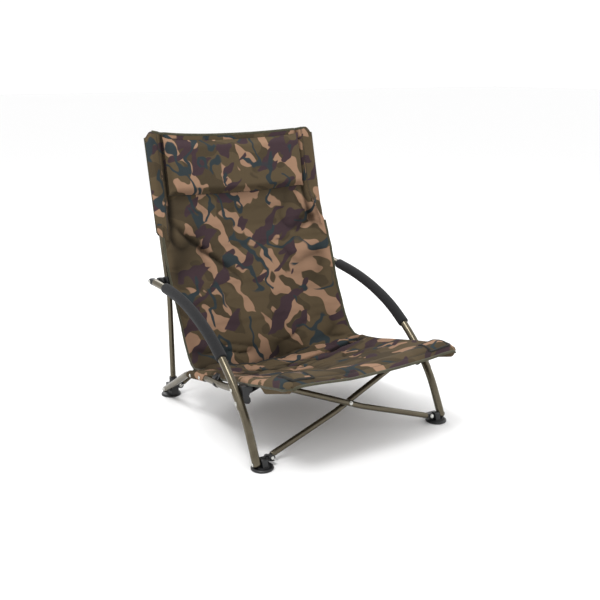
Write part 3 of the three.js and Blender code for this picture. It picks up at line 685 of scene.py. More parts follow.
class Scan:
    """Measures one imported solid.

    Args:
        name: The solid's node name.
    """

    def __init__(self, name: str) -> None:
        """Reads the solid's points and triangles."""
        mesh = frame["nodes"][name].data
        mesh.calc_loop_triangles()
        self.points = np.array([v.co for v in mesh.vertices], float)
        self.corners = self.points[np.array([t.vertices for t in mesh.loop_triangles])]

    def span(self, axis: Array) -> tuple[float, float]:
        """The solid's lowest and highest place along an axis."""
        places = self.points @ axis
        return float(places.min()), float(places.max())

    def middle(self) -> Array:
        """The middle of the solid's box."""
        return (self.points.min(axis=0) + self.points.max(axis=0)) / 2

    def outline(self, origin: Array, normal: Array) -> tuple[Array, Array]:
        """Cuts the solid with a plane.

        Args:
            origin: A point of the plane.
            normal: The plane's direction.

        Returns:
            The starts and the ends of the cut's edges, all turning the same way.
        """
        heights = (self.corners - origin) @ normal
        crossing = (heights.min(axis=1) < 0) & (heights.max(axis=1) >= 0)
        starts, ends = [], []
        for triangle, height in zip(self.corners[crossing], heights[crossing]):
            found = []
            for i in range(3):
                j = (i + 1) % 3
                if (height[i] < 0) != (height[j] < 0):
                    share = height[i] / (height[i] - height[j])
                    found.append(triangle[i] + (triangle[j] - triangle[i]) * share)
            facing = np.cross(triangle[1] - triangle[0], triangle[2] - triangle[0])
            if (found[1] - found[0]) @ np.cross(normal, facing) < 0:
                found.reverse()
            starts.append(found[0])
            ends.append(found[1])
        return np.array(starts), np.array(ends)

    def centre(self, origin: Array, normal: Array) -> Array:
        """The centre of the area that a plane cuts.

        Args:
            origin: A point of the plane.
            normal: The plane's direction.

        Returns:
            The centre.
        """
        starts, ends = self.outline(origin, normal)
        datum = starts.mean(axis=0)
        areas = np.cross(starts - datum, ends - datum) @ normal
        thirds = (starts - datum + ends - datum) / 3
        return datum + (thirds * areas[:, None]).sum(axis=0) / areas.sum()

    def at(self, axis: Array, place: float) -> Array:
        """The centre of the solid's section at a place along an axis."""
        return self.centre(axis * place, axis)

    def centre_line(self, radius: float, spacing: float = 0.018) -> Array:
        """The centre line of a bent bar, out to its ends.

        Args:
            radius: The bar's radius.
            spacing: The distance between the sections that are measured.

        Returns:
            The line's points, in order.
        """
        spread = self.points - self.points.mean(axis=0)
        axis = np.linalg.svd(spread, full_matrices=False)[2][0]
        axis = axis if axis[np.argmax(np.abs(axis))] > 0 else -axis
        low, high = self.span(axis)
        margin = 1.6 * radius
        count = max(2, round((high - low - 2 * margin) / spacing))
        stations = [self.at(axis, p) for p in np.linspace(low + margin, high - margin, count)]
        first = self.reached(stations[0], unit(stations[0] - stations[1]), radius)
        last = self.reached(stations[-1], unit(stations[-1] - stations[-2]), radius)
        return np.array([first, *stations, last])

    def reached(self, start: Array, direction: Array, radius: float) -> Array:
        """How far the solid goes on from a point, straight along a direction.

        Args:
            start: A point on the centre line.
            direction: The direction of the bar there.
            radius: The bar's radius.

        Returns:
            The end of the bar on its centre line.
        """
        ahead = (self.points - start) @ direction
        aside = np.linalg.norm(self.points - start - np.outer(ahead, direction), axis=1)
        return start + direction * ahead[aside < 1.35 * radius].max()


def rounded_corners(path: Array, rounds: int = 2) -> Array:
    """Cuts the corners of a path again and again, so that it bends smoothly.

    Args:
        path: The path's points.
        rounds: How often the corners are cut.

    Returns:
        The smoother path.
    """
    for _ in range(rounds if len(path) > 3 else 0):
        near = path[:-1] * 0.75 + path[1:] * 0.25
        far = path[:-1] * 0.25 + path[1:] * 0.75
        woven = np.stack([near, far], axis=1).reshape(-1, 3)
        path = np.vstack([path[:1], woven[1:-1], path[-1:]])
    return path


def path_length(path: Array) -> float:
    """The length of a path."""
    return float(np.linalg.norm(np.diff(path, axis=0), axis=1).sum())


def transported(path: Array) -> tuple[Array, Array]:
    """Two side directions along a path that turn as little as they can.

    Args:
        path: The path's points.

    Returns:
        The first and the second side direction at each point.
    """
    headings = unit(np.gradient(path, axis=0))
    side = square_pair(headings[0])[0]
    firsts = []
    for direction in headings:
        side = unit(side - direction * (side @ direction))
        firsts.append(side)
    return np.array(firsts), np.cross(headings, firsts)


class Shape:
    """Vertices, faces and flat places that make up one piece."""

    def __init__(self) -> None:
        """Starts with no part."""
        self.vertices: list[Array] = []
        self.faces: list[tuple[int, ...]] = []
        self.flats: list[Array] = []

    def add(self, vertices: Array, faces: Sequence[Sequence[int]], flats: Array | None = None) -> "Shape":
        """Adds a part.

        Args:
            vertices: Its points.
            faces: Its faces, as places in vertices.
            flats: For cloth, each point's place on the flat cloth.

        Returns:
            The shape itself.
        """
        start = sum(len(part) for part in self.vertices)
        self.vertices.append(np.asarray(vertices, float))
        self.flats.append(np.zeros((len(vertices), 2)) if flats is None else np.asarray(flats, float))
        self.faces.extend(tuple(start + i for i in face) for face in faces)
        return self

    def rings(
        self, rings: Array, flats: Array | None = None, capped: bool = True, looped: bool = False
    ) -> "Shape":
        """Adds a skin over closed rings of points.

        Args:
            rings: Points by ring and place on the ring.
            flats: For cloth, the flat places in the same order.
            capped: Whether the first and the last ring are closed.
            looped: Whether the last ring is joined to the first instead.

        Returns:
            The shape itself.
        """
        count, around = rings.shape[:2]
        faces = [
            (r * around + c, r * around + (c + 1) % around,
             (r + 1) % count * around + (c + 1) % around, (r + 1) % count * around + c)
            for r in range(count if looped else count - 1) for c in range(around)
        ]
        if capped and not looped:
            faces.append(tuple(reversed(range(around))))
            faces.append(tuple((count - 1) * around + c for c in range(around)))
        return self.add(rings.reshape(-1, 3), faces, None if flats is None else flats.reshape(-1, 2))

    def bar(
        self, path: Array, radius: float, start_round: float, end_round: float, sides: int = 28
    ) -> "Shape":
        """Adds a round bar along a path, with rounded ends.

        Args:
            path: The centre line.
            radius: The bar's radius.
            start_round: The rounding at the start.
            end_round: The rounding at the end.
            sides: The number of sides.

        Returns:
            The shape itself.
        """
        points, radii = list(path), [radius] * len(path)
        for at_end, rounding in ((False, start_round), (True, end_round)):
            tip, neighbour = (points[-1], points[-2]) if at_end else (points[0], points[1])
            inward = unit(neighbour - tip)
            while len(points) > 2 and np.linalg.norm(neighbour - tip) < 1.2 * rounding:
                points.pop(-2 if at_end else 1)
                radii.pop()
                neighbour = points[-2] if at_end else points[1]
            turns = np.linspace(0, math.pi / 2, 6)
            ring = [tip + inward * rounding * (1 - math.sin(t)) for t in turns]
            sizes = [radius - rounding * (1 - math.cos(t)) for t in turns]
            sizes[-1] = max(sizes[-1], 0.02 * radius)
            if at_end:
                points = points[:-1] + ring
                radii = radii[:-1] + sizes
            else:
                points = ring[::-1] + points[1:]
                radii = sizes[::-1] + radii[1:]
        return self.tube(np.array(points), np.array(radii), sides)

    def tube(self, path: Array, radii: Array, sides: int = 28) -> "Shape":
        """Adds a round skin whose radius changes along a path.

        Args:
            path: The centre line.
            radii: The radius at each of its points.
            sides: The number of sides.

        Returns:
            The shape itself.
        """
        firsts, seconds = transported(path)
        turns = np.linspace(0, math.tau, sides, endpoint=False)[None, :, None]
        rings = path[:, None] + np.asarray(radii)[:, None, None] * (
            firsts[:, None] * np.cos(turns) + seconds[:, None] * np.sin(turns)
        )
        return self.rings(rings)

    def turned(
        self, profile: Sequence[tuple[float, float]], centre: Array, axis: Array, sides: int = 40
    ) -> "Shape":
        """Adds a turned form.

        Args:
            profile: Pairs of radius and distance along the axis.
            centre: The point that the distances start from.
            axis: The axis.
            sides: The number of sides.

        Returns:
            The shape itself.
        """
        first, second = square_pair(axis)
        turns = np.linspace(0, math.tau, sides, endpoint=False)[:, None]
        circle = first * np.cos(turns) + second * np.sin(turns)
        rings = np.array([centre + axis * h + circle * max(r, 1e-5) for r, h in profile])
        return self.rings(rings)

    def extruded(self, outline: Array, depth: Array, rounding: float) -> "Shape":
        """Adds a solid that an outline sweeps straight along.

        Args:
            outline: The corners of the first face, in order.
            depth: The way to the opposite face.
            rounding: The radius of the edges.

        Returns:
            The shape itself.
        """
        built = bmesh.new()
        face = built.faces.new([built.verts.new(point) for point in outline])
        made = bmesh.ops.extrude_face_region(built, geom=[face])
        moved = [item for item in made["geom"] if isinstance(item, bmesh.types.BMVert)]
        bmesh.ops.translate(built, verts=moved, vec=Vector(depth))
        bmesh.ops.recalc_face_normals(built, faces=built.faces[:])
        bmesh.ops.bevel(
            built, geom=built.edges[:], offset=rounding, segments=3, profile=0.5, affect="EDGES",
            clamp_overlap=True,
        )
        return self.taken(built)

    def moulding(self, node: str, rounding: float) -> "Shape":
        """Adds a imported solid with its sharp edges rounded.

        Args:
            node: The solid's name.
            rounding: The radius of the edges.

        Returns:
            The shape itself.
        """
        built = bmesh.new()
        built.from_mesh(frame["nodes"][node].data)
        bmesh.ops.remove_doubles(built, verts=built.verts[:], dist=1e-5)
        bmesh.ops.dissolve_limit(
            built, angle_limit=math.radians(1.5), verts=built.verts[:], edges=built.edges[:]
        )
        sharp = [e for e in built.edges if e.is_manifold and e.calc_face_angle() > math.radians(48)]
        bmesh.ops.bevel(
            built, geom=sharp, offset=rounding, segments=2, profile=0.5, affect="EDGES",
            clamp_overlap=True,
        )
        return self.taken(built)

    def taken(self, built: bmesh.types.BMesh) -> "Shape":
        """Adds what an edit mesh holds, and frees it.

        Args:
            built: The edit mesh.

        Returns:
            The shape itself.
        """
        bmesh.ops.triangulate(built, faces=[f for f in built.faces if len(f.verts) > 4])
        built.verts.index_update()
        points = np.array([v.co for v in built.verts])
        faces = [tuple(v.index for v in face.verts) for face in built.faces]
        built.free()
        return self.add(points, faces)

    def mesh(self, name: str) -> bpy.types.Mesh:
        """Makes a Blender mesh with the flat places as its UV map.

        Args:
            name: The mesh's name.

        Returns:
            The mesh.
        """
        made = bpy.data.meshes.new(name)
        made.from_pydata([tuple(p) for p in np.vstack(self.vertices)], [], self.faces)
        made.validate()
        layer = made.uv_layers.new(name="flat")
        flats = np.vstack(self.flats)
        corners = np.empty(len(made.loops), int)
        made.loops.foreach_get("vertex_index", corners)
        layer.data.foreach_set("uv", flats[corners].ravel())
        made.polygons.foreach_set("use_smooth", [True] * len(made.polygons))
        made.set_sharp_from_angle(angle=math.radians(38))
        made.update()
        return made


def place_piece(
    name: str, shape: Shape, body: str, finish: Finish, replaced: Sequence[str] = ()
) -> Piece:
    """Makes a piece of the chair.

    Args:
        name: The piece's name.
        shape: Its shape.
        body: The body it rides on.
        finish: Its finish.
        replaced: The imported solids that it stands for.

    Returns:
        The new object.
    """
    piece = bpy.data.objects.new(name, shape.mesh(name))
    bpy.context.scene.collection.objects.link(piece)
    piece.data.materials.append(finish.material())
    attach(piece, body)
    if replaced:
        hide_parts(*replaced)
    log.info("%s on %s: %d faces", name, body, len(piece.data.polygons))
    return piece


def paint_fold_shade(piece: Piece, height: Array, depth: float) -> None:
    """Stores how deep in a fold each point of a sheet lies, as painted shade that darkens its print.

    Args:
        piece: The sheet.
        height: The height of the folds at each point of one face.
        depth: The depth at which the painted shade in a fold is darkest.
    """
    # Painted shade: 0 on and above the middle surface, up to 1 at the given depth in a fold.
    painted_shade = np.clip(-height / depth, 0, 1).ravel()
    layer = piece.data.attributes.new("painted_fold_shade", "FLOAT", "POINT")
    layer.data.foreach_set("value", np.concatenate([painted_shade, painted_shade]))


def place_moulding(name: str, node: str, body: str, rounding: float = 0.0007) -> None:
    """Replaces a packed moulding by one with rounded edges."""
    place_piece(name, Shape().moulding(node, rounding), body, NYLON, [node])


def place_cross_tube(
    stem: str, letter: str, ends: Sequence[str], radius: float, eye_round: float
) -> None:
    """Makes one tube of a scissor with the fittings at its ends.

    Args:
        stem: The scissor's name.
        letter: The tube's letter.
        ends: The word for each end.
        radius: The tube's radius.
        eye_round: The edge rounding of the fittings.
    """
    body = f"{stem}_{letter}"
    smooth_bar(f"{stem}_tube_{letter}", radius, body)
    for end in ends:
        node = f"{stem}_{end}_end_{letter}"
        place_moulding(f"{node}_fitting", node, body, eye_round)


def smooth_bar(name: str, radius: float, body: str, end_round: float = 0.0008) -> None:
    """Replaces a packed bar or tube by a smooth one on the same centre line.

    Args:
        name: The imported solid's name.
        radius: The bar's radius.
        body: The body it rides on.
        end_round: The rounding at its ends.
    """
    path = rounded_corners(Scan(name).centre_line(radius))
    shape = Shape().bar(path, radius, end_round, end_round)
    place_piece(f"smooth_{name}", shape, body, POWDER_COAT, [name])


@dataclass(frozen=True)
class RivetSize:
    """The sizes of the frame's rivets.

    Attributes:
        shank: The shank's radius.
        head: The domed head's radius.
        rise: The head's height.
        tail: The rolled tail's radius.
        tail_height: The rolled tail's height.
        washer: The radius of the washer under the head.
        washer_height: The washer's thickness.
    """

    shank: float = 0.0025
    head: float = 0.0042
    rise: float = 0.0019
    tail: float = 0.0042
    tail_height: float = 0.0014
    washer: float = 0.0054
    washer_height: float = 0.0005

    def head_profile(self) -> list[tuple[float, float]]:
        """Works out the washer and the dome.

        Returns:
            Pairs of radius and height, from the seat outwards.
        """
        dome = [
            (self.head * math.cos(t), self.washer_height + self.rise * math.sin(t))
            for t in np.linspace(0, math.pi / 2, 7)
        ]
        return [(self.washer, 0), (self.washer, self.washer_height), *dome]

    def whole(self, low: float, high: float) -> list[tuple[float, float]]:
        """A whole rivet's outline from its tail to its dome.

        Args:
            low: The place of the tail's end along the axis.
            high: The place of the dome's top along the axis.

        Returns:
            Pairs of radius and place along the axis.
        """
        seat = high - self.rise - self.washer_height
        inner = low + self.tail_height
        tail = [(0, low), (0.6 * self.tail, low), (self.tail, low + 0.0005), (self.tail, inner)]
        return [*tail, (self.shank, inner), (self.shank, seat),
                *[(r, seat + h) for r, h in self.head_profile()]]


RIVET = RivetSize()


def replace_rivet(name: str, axis: Array, body: str) -> None:
    """Replaces a packed rivet by one with a domed head and a washer.

    Args:
        name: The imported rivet's name.
        axis: Its axis, in either direction.
        body: The body it rides on.
    """
    scan = Scan(name)
    first, second = square_pair(axis)
    centre = sum(d * sum(scan.span(d)) / 2 for d in (first, second))
    low, high = scan.span(axis)
    aside = np.hypot(scan.points @ first - centre @ first, scan.points @ second - centre @ second)
    head = (scan.points @ axis)[aside > 0.9 * aside.max()].mean()
    if head < (low + high) / 2:
        axis, low, high = -axis, -high, -low
    shape = Shape().turned(RIVET.whole(low, high), centre, axis)
    place_piece(f"domed_{name}", shape, body, PLATED, [name])


def rivet_head(name: str, seat: Array, axis: Array, body: str) -> None:
    """Adds a rivet's head on a surface, facing along an axis."""
    place_piece(name, Shape().turned(RIVET.head_profile(), seat, unit(axis)), body, PLATED)


@dataclass(frozen=True)
class FootPad:
    """A round foot pad with a raised ring and a ribbed edge.

    Attributes:
        radius: The pad's radius.
        height: Its height at the rim's inner edge.
        cover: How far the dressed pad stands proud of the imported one.
        moulding_round: The edge rounding of the moulding on it.
    """

    radius: float = 0.0295
    height: float = 0.007
    cover: float = 0.0002
    moulding_round: float = 0.0007

    def profile(self) -> list[tuple[float, float]]:
        """Works out the pad's outline.

        Returns:
            Pairs of radius and height, from the middle of the sole to the middle of the top.
        """
        r, h = self.radius + self.cover, self.height + self.cover
        return [
            (0, 0), (r - 0.004, 0), (r - 0.0014, 0.0004), (r - 0.0003, 0.0014), (r, 0.0026),
            (r - 0.0002, 0.0040), (r - 0.0012, 0.0056), (r - 0.0034, h), (r - 0.0062, h + 0.0002),
            (r - 0.0068, h - 0.0002), (r - 0.0105, h + 0.0001), (r - 0.0112, h + 0.0009),
            (r - 0.0140, h + 0.0010), (r - 0.0150, h + 0.0002), (0, h),
        ]

    def place(self, stem: str, side: Side, body: str) -> None:
        """Makes a foot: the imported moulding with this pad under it.

        Args:
            stem: The foot's name without its side.
            side: Left or right.
            body: The body it rides on.
        """
        node = side.node(stem)
        scan = Scan(node)
        low = scan.points[scan.points[:, 2] < self.height / 2]
        centre = (low.min(axis=0) + low.max(axis=0)) / 2 * [1, 1, 0]
        shape = Shape().moulding(node, self.moulding_round)
        shape.turned(self.profile(), centre, UPWARD, 64)
        place_piece(side.node(f"{stem}_moulding"), shape, body, NYLON, [node])


@dataclass(frozen=True)
class RearFrame:
    """The leaning posts with their feet, and the scissor of cross tubes behind the sitter.

    Attributes:
        tube_radius: The radius of the posts and the cross tubes.
        lean: The posts' lean in degrees.
        pad: The foot pads.
        eye_round: The edge rounding of the end fittings.
    """

    tube_radius: float = 0.008
    lean: float = 13.4
    pad: FootPad = FootPad()
    eye_round: float = 0.0009

    @property
    def backward(self) -> Array:
        """The direction square to the posts, to the rear."""
        turn = math.radians(self.lean)
        return np.array([0, math.cos(turn), -math.sin(turn)])

    @property
    def upward(self) -> Array:
        """The direction up the leaning posts."""
        turn = math.radians(self.lean)
        return np.array([0, math.sin(turn), math.cos(turn)])

    def build_post(self, side: Side) -> None:
        """Makes a post with the domed plug in its end.

        Args:
            side: Left or right.
        """
        body = side.body("frame")
        smooth_bar(side.node("post"), self.tube_radius, body)
        cap = Scan(side.node("post_cap"))
        low, high = cap.span(self.upward)
        foot = cap.middle() - self.upward * (high - low) / 2
        radius = self.tube_radius
        profile = [(0, 0), (radius, 0), (radius, 0.0016), (radius - 0.0008, 0.0026),
                   (radius * 0.6, 0.0036), (0, high - low)]
        shape = Shape().turned(profile, foot, self.upward)
        place_piece(side.node("post_plug"), shape, body, NYLON, [side.node("post_cap")])

    def build_foot(self, side: Side) -> None:
        """Makes a rear foot with its rivets.

        Args:
            side: Left or right.
        """
        body = side.body("frame")
        self.pad.place("rear_foot", side, body)
        replace_rivet(side.node("rail_rivet"), OUTWARD, body)
        replace_rivet(side.node("rear_foot_rivet"), self.backward, body)

    def build_collar(self, side: Side) -> None:
        """Makes a sliding collar with its rivets.

        Args:
            side: Left or right.
        """
        body = side.body("collar")
        place_moulding(side.node("sliding_collar"), side.node("collar"), body)
        replace_rivet(side.node("arm_rivet"), OUTWARD, body)
        replace_rivet(side.node("collar_rivet"), self.backward, body)

    def build(self) -> None:
        """Makes the whole rear frame."""
        for side in Side:
            self.build_post(side)
            self.build_foot(side)
            self.build_collar(side)
        for letter in "ab":
            place_cross_tube(
                "rear_cross", letter, ("foot", "collar"), self.tube_radius, self.eye_round
            )
        replace_rivet("rear_cross_rivet", self.backward, "rear_cross_a")


@dataclass(frozen=True)
class ArmFrame:
    """The bent tubes that are arm and front leg in one, with their grips, brackets and feet.

    Attributes:
        tube_radius: The arm tube's radius.
        grip_radius: The foam grip's radius.
        foot_round: The rounding of the tube's lower end.
        top_round: The rounding of its upper end.
        grip_round: The rounding of the grip's ends.
        wrap_radius: The radius of the bracket's steel wrap round the leg.
        wrap_thickness: The wrap's thickness.
        lug_depth: The bracket lug's length from front to rear.
        lug_round: The rounding of the lug's edges.
        lug_outline: The lug from the front, in millimetres inwards from the leg's axis and up.
        pad: The foot pads.
    """

    tube_radius: float = 0.011
    grip_radius: float = 0.0154
    foot_round: float = 0.0085
    top_round: float = 0.0008
    grip_round: float = 0.0028
    wrap_radius: float = 0.0123
    wrap_thickness: float = 0.0016
    lug_depth: float = 0.026
    lug_round: float = 0.0016
    lug_outline: tuple[tuple[float, float], ...] = (
        (8, 193), (37, 193), (38.5, 187), (36, 179), (29, 172), (26, 165), (30, 159),
        (31, 150), (26, 144), (17, 146), (8, 153),
    )
    pad: FootPad = FootPad()

    def build_arm(self, side: Side) -> None:
        """Makes an arm tube with its grip and its end fitting.

        Args:
            side: Left or right.
        """
        body = side.body("arm")
        tube = side.node("arm_tube")
        path = rounded_corners(Scan(tube).centre_line(self.tube_radius, 0.026), 3)
        shape = Shape().bar(path, self.tube_radius, self.foot_round, self.top_round, 36)
        place_piece(side.node("smooth_arm_tube"), shape, body, POWDER_COAT, [tube])
        grip = side.node("arm_grip")
        line = rounded_corners(Scan(grip).centre_line(self.grip_radius, 0.026), 3)
        padded = Shape().bar(line, self.grip_radius, self.grip_round, self.grip_round, 40)
        piece = place_piece(side.node("foam_grip"), padded, body, FOAM, [grip])
        place_moulding(side.node("arm_end_fitting"), side.node("arm_end"), body)

    def build_bracket(self, side: Side) -> None:
        """Makes the bracket on the leg, with its screws.

        Args:
            side: Left or right.
        """
        node, body = side.node("leg_bracket"), side.body("arm")
        scan = Scan(node)
        low, high = scan.span(UPWARD)
        leg = [Scan(side.node("arm_tube")).at(UPWARD, z) for z in np.linspace(low, high, 9)]
        outward = OUTWARD * side.value
        front = leg[4] - BACKWARD * self.lug_depth / 2
        outline = [front - outward * i / 1000 + UPWARD * (z / 1000 - front[2]) for i, z in self.lug_outline]
        lug = Shape().extruded(np.array(outline), BACKWARD * self.lug_depth, self.lug_round)
        place_piece(side.node("leg_bracket_lug"), lug, body, NYLON, [node])
        rings = []
        for centre in leg:
            turns = np.linspace(-1.9, 1.9, 26)
            rings.append([centre + self.wrap_radius * (outward * math.cos(t) + BACKWARD * math.sin(t))
                          for t in turns])
        wrap = CLOTH.sheet(np.array(rings), np.zeros((9, 26, 2)), self.wrap_thickness)
        place_piece(side.node("leg_bracket_wrap"), wrap, body, POWDER_COAT)
        for number in (2, 6):
            seat = leg[number] + outward * (self.wrap_radius + self.wrap_thickness / 2 - 0.0004)
            rivet_head(f"bracket_screw_{side.word}_{number}", seat, outward, body)

    def build_foot(self, side: Side) -> None:
        """Makes a front foot with its rivets.

        Args:
            side: Left or right.
        """
        body = side.body("foot")
        self.pad.place("front_foot", side, body)
        replace_rivet(side.node("leg_rivet"), OUTWARD, body)
        replace_rivet(side.node("front_foot_rivet"), FrontScissor().backward, body)

    def build(self) -> None:
        """Makes both arms."""
        for side in Side:
            self.build_arm(side)
            self.build_bracket(side)
            self.build_foot(side)


@dataclass(frozen=True)
class FrontScissor:
    """The two cross tubes between the front feet and the rail ends.

    Attributes:
        tube_radius: The tubes' radius.
        eye_round: The edge rounding of the end fittings.
    """

    tube_radius: float = 0.008
    eye_round: float = 0.0009

    @property
    def backward(self) -> Array:
        """The direction square to the scissor, to the rear."""
        joints = {joint["name"]: joint for joint in frame["joints"]}
        return -unit(np.array(joints["front_cross_pivot_a"]["axis"]))

    def build(self) -> None:
        """Makes both tubes, their fittings and the rivets that show from the front."""
        for letter in "ab":
            place_cross_tube(
                "front_cross", letter, ("foot", "rail"), self.tube_radius, self.eye_round
            )
            eye = Scan(f"front_cross_rail_end_{letter}")
            low, high = eye.span(self.backward)
            seat = eye.middle() + self.backward * ((high - low) / 2)
            rivet_head(f"rail_pin_head_{letter}", seat, self.backward, f"front_cross_{letter}")
        front = Scan("front_cross_tube_b").at(OUTWARD, 0.0)
        seat = front - self.backward * (self.tube_radius - 0.0004)
        rivet_head("front_crossing_rivet", seat, -self.backward, "front_cross_b")


@dataclass(frozen=True)
class SeatRails:
    """The rails under the seat's side edges, with the pieces that join them.

    Attributes:
        lower_radius: The lower rail's radius.
        upper_radius: The upper rail's radius.
        plug_depth: How far an end plug stands out of its tube.
        strap_width: The width of the strap round the rails at the saddle.
        strap_thickness: The strap's thickness.
        strap_gap: The strap's distance from the rails.
        upper_rivet_inset: How far behind the plate's front its upper rivet is.
        lower_rivet_inset: How far ahead of the plate's rear its lower rivet is.
        rivet_sink: How far a rivet's head is let into a round tube.
    """

    lower_radius: float = 0.0095
    upper_radius: float = 0.008
    plug_depth: float = 0.0022
    strap_width: float = 0.009
    strap_thickness: float = 0.0014
    strap_gap: float = 0.0012
    upper_rivet_inset: float = 0.028
    lower_rivet_inset: float = 0.009
    rivet_sink: float = 0.0004

    def build_plug(self, name: str, path: Array, radius: float, body: str) -> None:
        """Adds a plug in the end of a tube.

        Args:
            name: The piece's name.
            path: The tube's centre line, which ends where the plug goes.
            radius: The tube's radius.
            body: The body it rides on.
        """
        heading = unit(path[-1] - path[-2])
        profile = [(radius + 0.0002, -0.0002), (radius + 0.0002, self.plug_depth * 0.5),
                   (radius - 0.0012, self.plug_depth), (0, self.plug_depth)]
        place_piece(name, Shape().turned(profile, path[-1], heading), body, NYLON)

    def build_side(self, side: Side) -> None:
        """Makes one side's rails, plate, saddle, strap, plugs and rivets.

        Args:
            side: Left or right.
        """
        body = side.body("rail")
        lower, upper = side.node("lower_rail"), side.node("upper_rail")
        smooth_bar(lower, self.lower_radius, body)
        smooth_bar(upper, self.upper_radius, body)
        lower_path = Scan(lower).centre_line(self.lower_radius)
        upper_path = Scan(upper).centre_line(self.upper_radius)
        self.build_plug(side.node("lower_rail_heel_plug"), lower_path, self.lower_radius, body)
        self.build_plug(side.node("lower_rail_front_plug"), lower_path[::-1], self.lower_radius, body)
        self.build_plug(side.node("upper_rail_rear_plug"), upper_path, self.upper_radius, body)
        plate, saddle = side.node("rail_plate"), side.node("rail_saddle")
        place_moulding(side.node("rail_plate_moulding"), plate, body)
        place_moulding(side.node("rail_saddle_moulding"), saddle, body)
        self.build_rivets(side, Scan(plate), body)
        self.build_strap(side, Scan(saddle), body)

    def build_rivets(self, side: Side, plate: Scan, body: str) -> None:
        """Adds the rivets that hold the plate to the rails.

        Args:
            side: Left or right.
            plate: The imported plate.
            body: The body they move with.
        """
        front, rear = plate.span(BACKWARD)
        places = (
            ("upper", front + self.upper_rivet_inset, self.upper_radius),
            ("lower", rear - self.lower_rivet_inset, self.lower_radius),
        )
        for word, depth, radius in places:
            centre = Scan(side.node(f"{word}_rail")).at(BACKWARD, depth)
            seat = centre + OUTWARD * side.value * (radius - self.rivet_sink)
            rivet_head(f"plate_rivet_{word}_{side.word}", seat, OUTWARD * side.value, body)

    def build_strap(self, side: Side, saddle: Scan, body: str) -> None:
        """Adds the thin strap round both rails at the saddle.

        Args:
            side: Left or right.
            saddle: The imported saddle.
            body: The body it rides on.
        """
        front, _ = saddle.span(BACKWARD)
        depth = front - 0.6 * self.strap_width
        low = Scan(side.node("lower_rail")).at(BACKWARD, depth)
        high = Scan(side.node("upper_rail")).at(BACKWARD, depth)
        reach_low, reach_high = self.lower_radius + self.strap_gap, self.upper_radius + self.strap_gap
        turns = np.linspace(0, math.pi, 13)
        foot = [low + reach_low * (-OUTWARD * math.cos(t) - UPWARD * math.sin(t)) for t in turns]
        head = [high + reach_high * (OUTWARD * math.cos(t) + UPWARD * math.sin(t)) for t in turns]
        loop = np.array(foot + head)
        rings = []
        half, thick = self.strap_width / 2, self.strap_thickness
        centre = loop.mean(axis=0)
        for across, grow in ((-half, 0), (-half, thick), (half, thick), (half, 0)):
            rings.append(loop + BACKWARD * across + unit(loop - centre) * grow)
        rings.append(rings[0])
        shape = Shape().rings(np.array(rings), capped=False)
        place_piece(side.node("rail_strap"), shape, body, NYLON)

    def build(self) -> None:
        """Makes both sides."""
        for side in Side:
            self.build_side(side)


